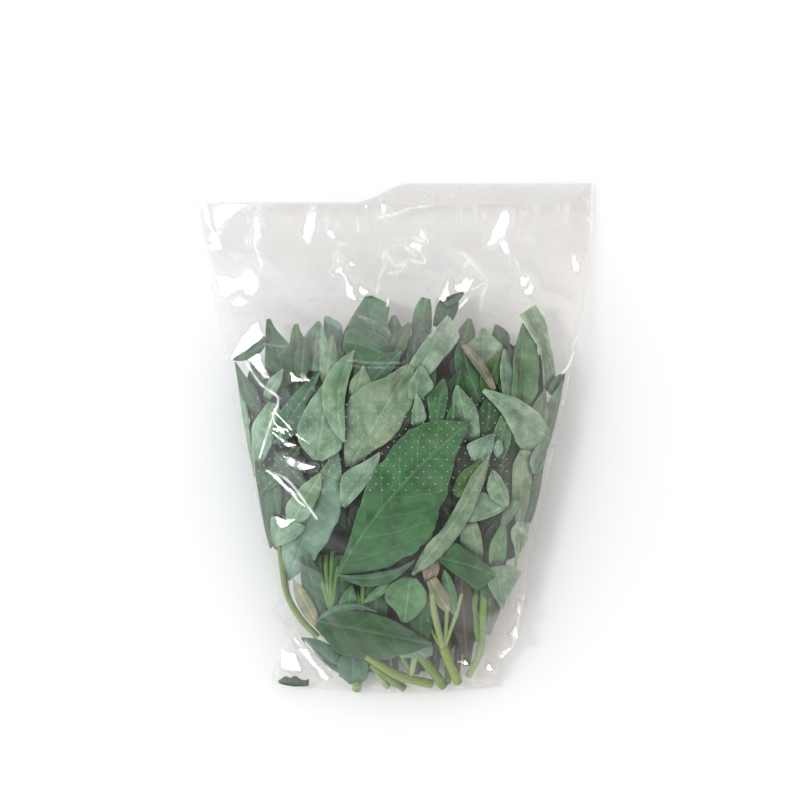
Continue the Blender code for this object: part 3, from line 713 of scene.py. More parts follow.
def fold_white_and_painted_glint(x, y):
    """How white the film is: along its folds, partly whitened film and partly painted glints, and in faint
    streaks by its mouth.
    """
    white = np.zeros_like(x)
    for fold in FOLDS_AND_PAINTED_GLINTS:
        route = smooth_route(fold.route, FOLD_STEP)
        nearest = np.minimum.reduce([segment_distance(x, y, a, b) for a, b in zip(route, route[1:])])
        edge = [fold.half * share for share in FOLD_EDGE]
        white = np.maximum(white, fold.white * smoothstep(*edge, nearest))
    white *= FAINTEST_FOLD_SHARE + (1 - FAINTEST_FOLD_SHARE) * smoothstep(-0.6, 0.2, soft_noise(x, y, 3.5, 151))
    streaks = smoothstep(0.2, 0.9, soft_noise(x, y * 0.14, 2.4, 181)) * smoothstep(*LIP_Y, y)
    return np.maximum(white, LIP_STREAKS * streaks)


EDGE_HAZE, EDGE_U = 0.5, (0.86, 0.97)
PATCH_HAZE, PATCH_Y = 0.25, (60, 80)
LIP_HAZE_Y = (108, 118)
SLACK_Y = (-50, -72)
SLACK_BAND = 0.16


def haziness(x, y, u, upper):
    """How hazy the film is: at its sides, in patches, on its long lip and beside the stems."""
    haze = EDGE_HAZE * smoothstep(*EDGE_U, np.abs(u)) * (0.6 + 0.4 * soft_noise(x, y, 12, 91))
    haze += PATCH_HAZE * smoothstep(0.25, 0.7, soft_noise(x, y, 19, 81)) * smoothstep(*PATCH_Y, y)
    haze += LIP_HAZE * ~upper * smoothstep(*LIP_HAZE_Y, y)
    slack_from = 0.62 + 0.2 * smoothstep(-92, -80, y)
    slack = smoothstep(*SLACK_Y, y) * smoothstep(slack_from, slack_from + SLACK_BAND, u)
    return haze + SIDE_HAZE * slack


def ear_offsets(rows, y):
    return np.interp(y, [row.y for row in rows], [row.offset for row in rows])


ROW_CROWDING = 0.1  # how much closer the rows stand towards the bottom
EAR_POWER = 8
OVER_LEAVES_Y = (77, 71)  # below this the upper layer lies over leaves
LEAF_SINK = 1.1  # and there it sinks no further below the bag's full height
EMPTY_SINK = 0.4  # elsewhere it keeps above this share of the bag's thickness
APART = 0.02  # the two layers stay this far off the middle between them


def film_layer(upper):
    """One layer of the film as a grid of points, bottom edge to mouth, left to right."""
    k = np.linspace(-1, 1, FILM_COLUMNS + 1)
    u = (1 - CROWDED) * k + CROWDED * np.sin(math.pi / 2 * k)
    t = np.linspace(0, 1, FILM_ROWS + 1)[:, None]
    t = t * (1 - ROW_CROWDING + ROW_CROWDING * t)
    start = bottom_y(bag_x(u, np.full_like(u, STATIONS[0].y)))
    y = start + (mouth_y(u, upper) - start) * t
    u = np.broadcast_to(u, y.shape)
    x = bag_x(u, y)
    low, high = end_pinch(*bag_heights(u, y), y, bag_x(u, np.full_like(y, STATIONS[0].y)))
    room, middle = high - low, (low + high) / 2
    ears = np.where(u < 0, ear_offsets(LEFT_EARS, y), ear_offsets(RIGHT_EARS, y))
    shift = ears * np.abs(u) ** EAR_POWER
    if upper:
        leafy = smoothstep(*OVER_LEAVES_Y, y)
        lowest = (high - LEAF_SINK) * leafy + (low + EMPTY_SINK * room) * (1 - leafy)
        lowest = np.maximum(lowest, middle + APART - EMPTY_SINK * room * (1 - leafy))
        z = high - FILM_WALL / 2 + film_wrinkles(x, y, room)
        z = np.maximum(with_facets(x, y, z, lowest), lowest)
        z = np.where(np.abs(u) >= 1, middle, z)
    else:
        z = low + FILM_WALL / 2 + lower_wrinkles(x, y, room)
        z = np.minimum(z, middle - APART * (np.abs(u) < 1))
    return np.stack([x + shift, y, z], axis=-1), u


def grid_faces(index, turned=False):
    """The faces of a grid of point numbers."""
    corners = [index[:-1, :-1], index[:-1, 1:], index[1:, 1:], index[1:, :-1]]
    return np.stack(corners[::-1] if turned else corners, axis=-1).reshape(-1, 4)


def make_film():
    """Both layers, joined along the sides and the bottom and open at the mouth."""
    over, u = film_layer(True)
    coarse = slice(None, None, LOWER_STRIDE)
    under = film_layer(False)[0][coarse, coarse]
    index_over = np.arange(over.size // 3).reshape(over.shape[:2])
    index_under = np.arange(under.size // 3).reshape(under.shape[:2]) + index_over.size
    for rim in ((slice(None), 0), (slice(None), -1), (0, slice(None))):
        index_under[rim] = index_over[coarse, coarse][rim]
    points = np.concatenate([over.reshape(-1, 3), under.reshape(-1, 3)])
    u = np.concatenate([u.ravel(), u[coarse, coarse].ravel()])
    faces = np.concatenate([grid_faces(index_over), grid_faces(index_under, turned=True)])
    used, faces = np.unique(faces, return_inverse=True)
    x, y = points[used, 0], points[used, 1]
    upper = np.arange(len(x)) < np.searchsorted(used, index_over.size)
    return new_piece("film", points[used], faces.reshape(-1, 4).tolist(), film_material(), {
        "haze": ("FLOAT", haziness(x, y, u[used], upper)),
        "facet": ("FLOAT", facet_share(x, y)),
        "white": ("FLOAT", fold_white_and_painted_glint(x, y) * upper),
    })


# --- leaves -----------------------------------------------------------------------------
# A tone is the colour that shows through the film, in display values from 0 to 255.
TONES = {
    "dark": (62, 92, 66),
    "deep": (52, 92, 55),
    "emerald": (44, 104, 68),
    "green": (80, 119, 84),
    "bright": (102, 140, 102),
    "muted": (76, 98, 76),
    "sage": (135, 163, 138),
    "pale": (152, 175, 150),
    "khaki": (138, 158, 133),
    "olive": (82, 112, 60),
    "blue": (119, 147, 130),
    "teal": (80, 112, 90),
    "grey": (118, 136, 118),
    "slate": (140, 165, 143),
    "pink": (142, 132, 118),
    # the colour of painted shade in a deep gap
    "brown": (72, 66, 52),
    "dry": (146, 142, 112),
    "scrap": (45, 80, 58),
}
VEIL_LIGHT = np.array([0.041, 0.034, 0.041])  # what the film adds over the leaves, in linear light
FILM_GAIN = 0.98  # and what it lets through of a leaf's own colour in this light
OWN_LIGHT = (0.008, 0.9)  # the darkest and lightest that a leaf's own colour may be
PALE_TONES = {"sage", "pale", "khaki", "blue", "grey", "slate", "pink"}

LEAF_STEP = 1.2
LEAF_THICKNESS = 0.28
CLEARANCE = 0.18
STACK_DEPTH = 8.0  # the first leaf of the stack lies this far below the film
Leaf = namedtuple("Leaf", "base tip bend left right tone arch")
PLAIN_SIDE = (0.05, 0.62, 0.93, 1.0, 0.86, 0.5, 0.04)  # one side's widths, from base to tip
STALK_HALF = 0.5
TIP_HALF = 0.06


def leaf(base, tip, bend, left, right, tone, arch=0.0):
    """A leaf from base to tip in plan. The midrib bends to the left by bend. Each side is
    its widths at even steps from base to tip, or the greatest width of a plain side."""
    sides = [side if isinstance(side, tuple) else tuple(side * share for share in PLAIN_SIDE)
             for side in (left, right)]
    return Leaf(base, tip, bend, *sides, tone, arch)


# Those that show on top, from the lowest to the uppermost.
TOP_LEAVES = (
    # behind the upper edge
    leaf((4, 42), (0, 61), 1, (3, 5, 5.5, 3.5, 1), (2, 3.5, 4, 3, 1), "green"),
    leaf((14, 43), (16, 69.5), 1, (3, 4.5, 5, 4.8, 2.2), (3, 4, 4.5, 4.2, 2.2), "green"),
    leaf((23, 54), (29.5, 69), 0, (4, 5.5, 6.5, 4), (3, 4, 4.5, 3), "deep"),
    leaf((25, 66.5), (34.5, 72.3), 0, (1.5, 2, 1.6, 0.4), (2, 2.6, 2.2, 0.8), "dark"),
    leaf((33, 41), (37.5, 59.3), 0, (4, 5, 4.6, 3, 0.8), (3, 4, 4.8, 3.8, 1), "olive"),
    leaf((59, 29), (53.5, 50), 0, 4, 4, "sage"),
    leaf((54, 43), (50.5, 56.3), 0, (3, 5.5, 5, 2.5, 0.5), (2, 4.5, 5, 3.4, 0.5), "muted"),
    leaf((-47.5, 41), (-48.5, 56.5), 0, (2, 3.4, 3.4, 2.6, 1), (2, 4, 3.6, 2, 1), "olive"),
    leaf((-30, 33), (-33.5, 60.5), 0, (2, 2.6, 2.6, 2.8, 2.2, 1), (4, 5, 5.6, 6.4, 7, 1), "blue"),
    leaf((-53, 26), (-62.5, 59), 0, (2, 3.5, 6, 5.4, 3.4, 1), (10, 12, 9.6, 6.4, 2.8, 1), "dark"),
    leaf((-40, 33), (-37.5, 58), 0, (3, 6.5, 7.8, 6.8, 4.3, 0.6), (3, 4.4, 6, 5.8, 3.8, 0.8), "sage"),
    leaf((-34, 25), (-30.5, 51), 0, 4.4, 4.4, "khaki"),
    leaf((-25, 32), (-21, 56), 0, (3, 4, 4.4, 4, 2), (3, 5, 5.6, 5.4, 2.4), "dark"),
    leaf((-8, 42), (-13, 70.5), 0, (6, 11, 13.5, 11.6, 7, 1.5), (5, 7, 7.6, 8.6, 9.6, 2), "green"),
    leaf((9, 32), (12.5, 56), 1, 3.6, 4.6, "muted"),
    leaf((-4, 34), (8, 57), 0, (2, 4, 4.6, 3.4, 1), (2, 4, 4.4, 3.2, 1), "olive"),
    leaf((22, 38), (13, 57), 0, (2, 4, 4, 3, 0.6), (2, 3.6, 4, 3, 0.6), "dark"),
    leaf((-46, 30), (-44, 50), 0, (2, 4, 4.4, 3, 1), (2, 4, 4, 3, 1), "muted"),
    leaf((-25, 48), (3, 36.5), 2, (5, 8, 8, 7, 3, 0.5), (4, 9, 10, 9, 5, 0.5), "emerald"),
    leaf((-12, 27), (3.5, 43), 0, (3, 6, 6, 4, 1), (3, 5, 4, 3, 1), "teal"),
    leaf((43, 17), (33, 48), 1, (3, 5.5, 6.5, 6, 4.5, 1), (3, 7, 8.5, 7, 4, 1), "green"),
    leaf((58, 17), (51, 45), 0, (2, 3.6, 4, 4, 2.4, 0.5), (2, 3, 3.4, 3, 2, 0.5), "olive"),
    leaf((44, 35.5), (44, 55), 0, (2, 7, 8.2, 3.6, 0.5), (3, 8, 9.2, 5, 0.5), "pale"),
    leaf((45, 22), (53, 43), 0, (2, 4.5, 5.5, 4, 0.5), (2, 3.5, 3.5, 2.4, 0.5), "olive"),
    leaf((34, 46), (50, 22.5), 1, (1, 2.4, 2.8, 2.2, 1), (1, 2, 2.2, 1.8, 1), "pink"),
    leaf((56.5, 17), (54.5, 44), 0, (1.5, 2.6, 3, 2.4, 0.5), (1.5, 3, 3.4, 2.8, 0.5), "sage"),
    leaf((62, 16), (64, 57), 0, (4, 4.2, 4, 4, 2.6, 0.3), (5, 8.6, 9.2, 8.2, 5.6, 0.4), "bright"),
    leaf((76.5, 23), (66, 63.5), -3.4, (2.5, 2.8, 2.8, 3.2, 4.2, 4.4), (2.5, 3.4, 3.8, 4.2, 5.6, 4.8),
         "pale"),
    leaf((78, 21), (86.3, 31.8), 0, (2, 3.8, 4, 3.4, 1), (2, 3, 3.4, 3, 1), "green"),
    leaf((73, -7), (84.5, 28), -1, (2, 5, 6, 5.5, 4, 1), (2, 4, 4.5, 4, 3, 1), "sage"),
    leaf((66, -12), (75, 24), 0, 6, 5, "khaki"),
    # the middle of the upper half
    leaf((50, -36), (58, 10), 0, 8, 7, "muted"),
    leaf((22, -4), (33, 34), 0, 7, 7, "dark"),
    leaf((8, 8), (20, 40), 0, 6, 6, "muted"),
    leaf((-12, -4), (14, 26), 0, 7, 8, "muted"),
    leaf((45, -1), (48, 20), 0, (4, 5.4, 5.4, 4.4, 2), (4, 6, 6.6, 5, 3), "dark"),
    leaf((38, -1), (31, 26), 0, (4, 5, 4.6, 4.4, 3.8, 0.6), (4, 6, 6.6, 6.2, 3.4, 0.6), "sage"),
    leaf((28, 2), (29.5, 17), 0, 3, 3, "green"),
    leaf((20, 5), (24.5, 29.3), 0, (2, 3.6, 5, 7, 3.5, 0.6), (2, 3.5, 3.8, 3.8, 3, 0.6), "green"),
    leaf((52, -10), (56, 14.5), 0, (1.5, 4, 4.6, 3.4, 0.4), (2, 4, 3.8, 2.4, 0.4), "bright"),
    leaf((44, 23.5), (78, -1), 0, (1, 4.2, 6.6, 7.4, 5.6, 1.5), (1, 2.4, 4.6, 9.5, 12, 3), "pale"),
    leaf((12, 32), (26.5, 60.5), 0, (6, 6, 5, 3.8, 2, 0.4), (5, 7, 8.4, 9.6, 10, 1.5), "pale"),
    leaf((-19, 21), (-15, 35.8), 0, (3, 4.2, 3.6, 1.6, 0.4), (3, 6, 6.4, 3.2, 0.4), "khaki"),
    leaf((-22, -14), (8, 36), 0, (3, 10, 16.5, 15.5, 7.6, 1.5), (1, 6, 11.5, 11, 9.2, 2.5), "khaki"),
    leaf((10, 19), (13.5, 35.5), 0, (3, 3.8, 3.8, 2.6, 1), (3, 6, 8, 5, 1), "sage"),
    leaf((11, 6), (11, 21.8), 0, (2, 2.4, 2, 1.2, 0.4), (2, 5, 4.4, 3, 0.4), "sage"),
    # the left-hand side
    leaf((-71, -19), (-77.5, 34), 1, (1, 2, 2.6, 2.6, 2, 0.5), (1, 2.8, 3.2, 3.2, 2.2, 0.5), "sage"),
    leaf((-68, -17), (-60, 17.5), 0, (1, 4, 6, 7.2, 5.4, 2), (1, 2.4, 4, 5.4, 6.2, 3), "sage"),
    leaf((-67, 14), (-79, 37.5), 1, (2, 3.4, 4, 3.2, 1.6, 0.5), (2, 4, 4.2, 3.2, 1.8, 0.5), "dark"),
    leaf((-64, 50), (-81, 39), 2, (1.5, 3.6, 3.6, 2.6, 0.5), (1.5, 3.4, 3.6, 2.4, 0.5), "dark"),
    leaf((-63, 20), (-55, 34), 0, (2, 3, 3.4, 2, 0.4), (2, 3, 3, 2, 0.4), "sage"),
    leaf((-59.5, -3), (-36.5, 32.5), 0, (1, 4.6, 6.2, 5.2, 3.2, 0.4), (1, 5.6, 5.6, 3.6, 2.2, 0.4), "teal"),
    leaf((-67, -12), (-62, -55), 1, (2, 4, 4.4, 3.4, 1.4), (2, 4.2, 4.6, 3.8, 1.6), "dark"),
    leaf((-62, -14), (-57, -40), 0, 4, 4, "dark"),
    leaf((-66, -28), (-46, -4), 0, 5, 4, "deep"),
    leaf((-58, -8), (-44, -24), 0, (2, 4.6, 5, 3.4, 0.5), (2, 4, 4.2, 3, 0.5), "muted"),
    leaf((-53, -71), (-28, -5), 0, (1, 8, 9.4, 7, 3.6, 0.4), (1, 8.6, 12.6, 12.6, 8.2, 0.6), "blue"),
    leaf((-51, -42), (-36, -17), 0, (3, 6, 6, 5, 3, 0.4), (3, 5.6, 5.8, 5.2, 3.8, 0.4), "sage"),
    leaf((-59, -54), (-44, -43.5), 0, (3, 9, 13, 9, 5.4, 0.8), (0.5, 1.4, 2, 2.4, 2, 0.8), "sage"),
    leaf((-38, -11), (-33, 27), 0, (2, 10, 12, 9.6, 6, 1.6), (3, 11.4, 11.6, 9, 4.6, 0.8), "sage"),
    leaf((-24.5, -2), (-19.5, 43.3), 5.5, (0.5, 4.8, 7.6, 8, 5.4, 0.4), (0.5, 3, 3.4, 3.6, 3.4, 0.4), "sage"),
    leaf((-25, -34), (-7, -7), 0, (1, 6.4, 9, 6.6, 3, 0.4), (1, 2.6, 3.6, 3.8, 3, 0.4), "slate"),
    # the right-hand side
    leaf((64, -46), (74, -12), -1, 4, 4.5, "grey"),
    leaf((62, -43), (64.5, -6), 0, (1.5, 3.2, 4.6, 5, 5, 2), (1.5, 3, 4.2, 4.8, 4.6, 3), "khaki"),
    leaf((69.5, -18), (75.5, -1), 0, (1, 4, 4.6, 3.6, 1), (1, 2.6, 3, 2.6, 1), "sage"),
    leaf((50, -66), (55, -40), 0, (2, 4.4, 4.8, 2.8, 0.5), (2, 3.8, 3.2, 2, 0.5), "bright"),
    leaf((53.5, -43), (61, -31), 0, (1, 2.6, 3, 1.6), (1, 2.4, 2.6, 1.6), "bright"),
    leaf((38, -40), (42.5, -62.5), 0, (2, 3.4, 3.4, 2.8, 0.5), (3, 6.6, 7.2, 4.2, 0.5), "khaki"),
    leaf((36, -41), (56.5, -33.5), 0, (1, 7, 11, 10, 5.6, 0.5), (0.5, 1.6, 2.2, 2.2, 1.6, 0.5), "sage"),
    leaf((56, -33.5), (48.5, -15.5), 0, (1, 4.6, 6.2, 6.2, 3.6, 0.4), (1, 2.6, 3.2, 2.8, 2, 0.4), "sage"),
    leaf((51, -9.5), (51.5, -0.5), 0, 2.4, 2.8, "sage"),
    leaf((41, -12), (49.3, 2.2), 0, (3, 8.6, 7.2, 4, 0.5), (3, 4.2, 3.8, 2.6, 0.5), "slate"),
    leaf((31, -29), (45.5, -10), 0, (2, 5.6, 5.6, 3.4, 0.4), (1, 2.4, 2.4, 1.8, 0.4), "olive"),
    leaf((60.5, -62), (64, -41.5), 0, (0.8, 1, 2.6, 4.6, 5, 3), (0.8, 1.2, 2.6, 4.2, 4.2, 3.4), "pale"),
    # the bottom
    leaf((-34, -98), (-44, -58), 0, (2, 5, 6, 5, 2), (2, 6, 8, 6, 2), "dark"),
    leaf((-24, -98), (-27, -58), 0, (2, 5, 6, 5, 2), (2, 5, 6, 5, 2), "dark"),
    leaf((-10, -100), (-8, -66), 0, (2, 6, 7, 5, 2), (2, 5, 6, 5, 2), "dark"),
    leaf((14, -104), (12, -72), 0, (2, 5, 6, 5, 2), (2, 5, 6, 5, 2), "dark"),
    # a dark brown sheet as painted shade in the deep gap among the stems
    leaf((36, -108), (33, -66), 0, (2, 5, 7, 6, 2), (2, 6, 7, 5, 2), "brown"),
    leaf((46, -98), (52, -62), 0, (2, 4, 5, 4, 2), (2, 4, 5, 4, 2), "dark"),
    leaf((-24, -90), (-21, -73), 0, 4.5, 4.5, "green"),
    leaf((-15.5, -82), (2, -69), 0, 2.2, 2.4, "bright"),
    leaf((30.5, -88), (25, -65), 0, (1, 4, 4.4, 3, 0.5), (1, 2.4, 3, 2.4, 0.5), "bright"),
    leaf((16, -72), (21, -58), 0, 4, 4, "pink"),
    leaf((18, -70), (27, -86), 0, (3, 3.6, 4, 3.6, 1.2), (2, 3, 3.4, 3, 1.2), "dry"),
    leaf((-50, -70), (-36, -97), 0, 3.4, 4.2, "dry"),
    leaf((-26, -115), (-46, -99.5), 0, (3, 3.6, 3, 2.2, 0.4), (3, 6, 6.2, 4.2, 0.4), "teal"),
    leaf((-20, -123), (-21, -106), 0, (2, 5.4, 7, 7.2, 6.4, 3), (4, 7.4, 7.6, 7.2, 6.4, 3), "teal"),
    leaf((8, -69), (5, -91.5), 0, (3, 8, 9.2, 8.6, 6, 1.5), (3, 9, 10.6, 9.6, 4.4, 1.5), "bright"),
    leaf((51, -63.5), (54, -85.5), 0, (6, 11.6, 9.2, 6, 2.4, 0.4), (3, 5.4, 5.4, 4.2, 2.2, 0.4), "sage"),
    # the large ones on top of all
    leaf((22, -59.5), (50.5, -68), 1, (4, 8.6, 7.2, 5.2, 3.2, 0.4), (1, 4.2, 6.6, 8.6, 10.2, 1.5), "emerald"),
    leaf((-28, -67.5), (36, 6.8), 5, (0.5, 3, 7.4, 12, 15, 16.8, 14, 1.5),
         (1, 18, 25.4, 27.2, 23.6, 18, 9, 1), "green"),
    leaf((-28, -67.5), (10.5, -60), -5, 2, 4.2, "teal"),
    leaf((9, -67.5), (47, -8.5), -3.2, (0.6, 4, 3, 3.6, 4, 0.5), (1, 4.4, 5.8, 5.2, 3.4, 0.5), "khaki",
         arch=2.0),
    leaf((0, -104), (19.5, -105.5), 0, (3, 3.2, 3.8, 4.6, 4.2, 1.5), (3, 4.4, 5, 5.2, 4.6, 2.5), "blue"),
    leaf((-38.5, -91), (19, -102.5), 0, (1, 8, 9.6, 8.6, 5, 0.5), (3, 12, 14.2, 12.4, 8, 0.6), "deep"),
    leaf((-39, -91.5), (-8, -86.5), 5.5, 1.6, 1.8, "teal"),
)


def side_widths(widths, t):
    """A side's width at t, on a smooth curve through those given at even steps."""
    widths = np.array(widths, float)
    place = np.clip(t, 0, 1) * (len(widths) - 1)
    i = np.minimum(place.astype(int), len(widths) - 2)
    slopes = np.gradient(widths)
    curve = eased(widths[i], widths[i + 1], slopes[i], slopes[i + 1], place - i)
    return np.maximum(curve, STALK_HALF * (1 - t) + TIP_HALF)


RAGGED = (Relief(6, 101, 0.06), Relief(2.6, 102, 0.035))  # of a rim, as a share of the width
SEED_SHIFT = 90
SIDE_ROW = 7.0  # each side of a leaf has its own row of the noise


def leaf_plan(a_leaf, seed):
    """The plan grid of a leaf: x, y, and the place across and along it and in from its rim."""
    base, tip = np.array(a_leaf.base, float), np.array(a_leaf.tip, float)
    length = float(np.hypot(*(tip - base)))
    normal = np.array([-(tip - base)[1], (tip - base)[0]]) / length
    rows = max(8, round(length / LEAF_STEP))
    half_columns = max(3, round(max(a_leaf.left + a_leaf.right) / LEAF_STEP))
    t = np.linspace(0, 1, rows + 1)
    middle = (base + tip) / 2 + normal * 2 * a_leaf.bend
    q = t[:, None]
    centre = (1 - q) ** 2 * base + 2 * q * (1 - q) * middle + q**2 * tip
    ahead = 2 * (1 - q) * (middle - base) + 2 * q * (tip - middle)
    ahead /= np.linalg.norm(ahead, axis=1)[:, None]
    left = np.stack([-ahead[:, 1], ahead[:, 0]], axis=1)
    s = np.linspace(-1, 1, 2 * half_columns + 1)[None, :]
    halves = [side_widths(side, t)[:, None] for side in (a_leaf.right, a_leaf.left)]
    along_leaf = np.broadcast_to(q * length, (rows + 1, s.size))
    ragged = 1.0
    for relief in RAGGED:
        ragged += waved(along_leaf + SEED_SHIFT * seed, np.sign(s) + SIDE_ROW, relief)
    half = np.where(s < 0, *halves) * ragged
    across = half * s
    x = centre[:, 0:1] + left[:, 0:1] * across
    y = centre[:, 1:2] + left[:, 1:2] * across
    return kept_in(x, y), y, across, along_leaf, half - np.abs(across)


PILLOW = 0.16  # how far the leaf swells between its side veins
GROOVE_DEPTH, GROOVE_HALF = 0.35, 0.9
WAVE_HEIGHT, WAVE_LENGTH = 0.6, 17
TIP_DROOP, BASE_DROOP = 1.1, 1.6
BASE_SHARE, TIP_SHARE = 0.18, 0.8
BROAD_FOLDS, FINE_FOLDS = Relief(14, 131, 1.1), Relief(6, 141, 0.4)


def leaf_relief(across, along_leaf, rim, seed, arch, draw):
    """How far a leaf's surface stands off its own plane."""
    out = np.abs(across) / np.maximum(np.abs(across) + rim, 0.01)
    pillow = PILLOW * np.cos(2 * math.pi * vein_phase(across, along_leaf, seed)) * (1 - out**3)
    groove = -GROOVE_DEPTH * np.exp(-((across / GROOVE_HALF) ** 2))
    turn = 2 * math.pi * (along_leaf / WAVE_LENGTH + draw[0]) + 1.2 * np.sign(across)
    wave = WAVE_HEIGHT * np.sin(turn) * out**2
    cup = (0.2 * draw[1] - 0.03) * np.abs(across)
    t = along_leaf / along_leaf.max()
    droop = (-TIP_DROOP * np.clip(t - TIP_SHARE, 0, 1) ** 1.2
             - BASE_DROOP * np.clip(BASE_SHARE - t, 0, 1) / BASE_SHARE)
    folds = (creased(across + 40 * seed, along_leaf, BROAD_FOLDS)
             + creased(across, along_leaf + 50 * seed, FINE_FOLDS))
    return pillow + groove + wave + cup - arch * out**2 + droop + folds


# Shade from what stands higher around a point: how often the stack's height is averaged with
# that of the cells around, how far below it the shade begins, over what depth it grows to its
# full strength, and that strength.
Shade = namedtuple("Shade", "steps start reach strength")
SHADES = (Shade(3, 0.15, 1.1, 0.55), Shade(26, 0.3, 3.0, 0.5))
LIFT_STEPS = 4
BED_DEPTH = 2.0  # what the first leaf lies on is this far below it


CORNERS = ((0, 0), (0, 1), (1, 0), (1, 1))


def beside(field):
    """The sum of each cell's four neighbours."""
    wide = np.pad(field, 1, mode="edge")
    return wide[:-2, 1:-1] + wide[2:, 1:-1] + wide[1:-1, :-2] + wide[1:-1, 2:]


def blurred(field, steps):
    for _ in range(steps):
        field = (field + beside(field)) / 5
    return field


class Stack:
    """The leaves on one face of the bunch: each lies on what is there before it."""

    CELL = 1.0
    LEFT, BOTTOM = -105, -130
    SIZE = (212, 262)

    def __init__(self, face):
        self.face = face  # 1 for the top and -1 for the underside
        i, j = np.meshgrid(np.arange(self.SIZE[0]), np.arange(self.SIZE[1]), indexing="ij")
        x, y = i * self.CELL + self.LEFT, j * self.CELL + self.BOTTOM
        self.taken = self.limit(x.astype(float), y.astype(float)) - STACK_DEPTH - BED_DEPTH

    def limit(self, x, y):
        low, high = inside(x, y)
        return high if self.face > 0 else -low

    def cells(self, x, y):
        i = np.clip((x - self.LEFT) / self.CELL, 1, self.SIZE[0] - 2).astype(int)
        j = np.clip((y - self.BOTTOM) / self.CELL, 1, self.SIZE[1] - 2).astype(int)
        return i, j

    def soften(self):
        """Keeps a blurred copy of the finished stack's height for each kind of shade."""
        self.blurred = [blurred(self.taken, shade.steps) for shade in SHADES]

    def light(self, x, y, z):
        """The share of light that reaches a point between what stands higher around it."""
        cell = self.cells(x, y)
        z = z * self.face + LEAF_THICKNESS
        light = 1.0
        for shade, height in zip(SHADES, self.blurred):
            deep = np.clip((height[cell] - z - shade.start) / shade.reach, 0, 1)
            light = light * (1 - shade.strength * deep)
        return light

    def lay(self, x, y, wanted, headroom):
        """Heights for a sheet that is wanted there, lifted clear of what lies below it."""
        i, j = self.cells(x, y)
        under = np.maximum.reduce([self.taken[i + a, j + b] for a, b in CORNERS])
        needed = np.maximum(under + CLEARANCE - wanted, 0.0)
        lift = needed
        for _ in range(LIFT_STEPS):
            lift = np.maximum(needed, beside(lift) / 4)
        z = np.minimum(wanted + lift, self.limit(x, y) - LEAF_THICKNESS - headroom)
        for a, b in CORNERS:
            np.maximum.at(self.taken, (i + a, j + b), z + LEAF_THICKNESS)
        return z * self.face


class LeafMesh(Gathered):
    """The leaves of one kind."""

    def add(self, x, y, z, face, across, along_leaf, rim, tone, seed):
        """Both faces of a leaf, and the narrow strip between them all round."""
        place = np.stack([across, along_leaf, np.full_like(x, seed)], axis=-1).reshape(-1, 3)
        tones = np.append(tone.reshape(-1, 3), np.ones((x.size, 1)), axis=1)
        borders = []
        over = LEAF_THICKNESS * (face > 0)
        for level, turned in ((over, True), (over - LEAF_THICKNESS, False)):
            points = np.stack([x, y, z + level], axis=-1).reshape(-1, 3)
            first = self.keep(points, place=place, tone=tones, rim=rim.ravel())
            index = np.arange(x.size).reshape(x.shape) + first
            a, b, c, d = index[:-1, :-1], index[:-1, 1:], index[1:, 1:], index[1:, :-1]
            order = [a, d, c, b] if turned else [a, b, c, d]
            self.faces.extend(np.stack(order, axis=-1).reshape(-1, 4).tolist())
            borders.append(np.concatenate(
                [index[0, :], index[1:, -1], index[-1, -2::-1], index[-2:0:-1, 0]]))
        over_rim, under_rim = borders
        strip = [over_rim, np.roll(over_rim, -1), np.roll(under_rim, -1), under_rim]
        self.faces.extend(np.stack(strip, axis=-1).tolist())


def own_colour(tone):
    """What a leaf's own colour has to be for that tone to show through the film."""
    return np.clip((linear(TONES[tone]) - VEIL_LIGHT) / FILM_GAIN, *OWN_LIGHT)


HIGHEST_HIDDEN_TIP = 47.0
HIDDEN_EDGE = 0.86  # their tips stay within this share of the bag's half width
HIDDEN_LENGTH, HIDDEN_WIDTH = (30, 54), (0.17, 0.28)  # the width is a share of the length
HIDDEN_TURN, HIDDEN_BEND = 0.45, 2
HIDDEN_FAN = 0.45  # how much more a leaf by the side of the bag turns towards that side
HIDDEN_SHADE = 0.5
HEADROOM = 2.5  # the first leaves of a stack leave this much room to those above them
LEAST_DEPTH = 1.1
HIDDEN_TONES = ("dark", "muted", "green", "sage", "teal", "olive", "green")
UNDER_TONES = ("muted", "green", "sage", "khaki", "teal")


def seeded_leaves(draw, count, y_range, spread, tones):
    """Leaves that no one placed by hand, most of them pointing to the mouth."""
    made = []
    for _ in range(count):
        y = draw.uniform(*y_range)
        u = draw.uniform(-spread, spread)
        x = float(bag_x(u, y))
        turn = draw.normal(0, HIDDEN_TURN) + HIDDEN_FAN * u
        length = draw.uniform(*HIDDEN_LENGTH)
        tip_y = min(y + length * math.cos(turn), HIGHEST_HIDDEN_TIP)
        edges = [float(bag_x(side * HIDDEN_EDGE, tip_y)) for side in (-1, 1)]
        tip = (sorted((x + length * math.sin(turn), *edges))[1], tip_y)
        width = length * draw.uniform(*HIDDEN_WIDTH)
        tone = tones[int(draw.integers(len(tones)))]
        bend = draw.uniform(-HIDDEN_BEND, HIDDEN_BEND)
        made.append(leaf((x, y), tip, bend, width, width * draw.uniform(0.8, 1.1), tone))
    return made


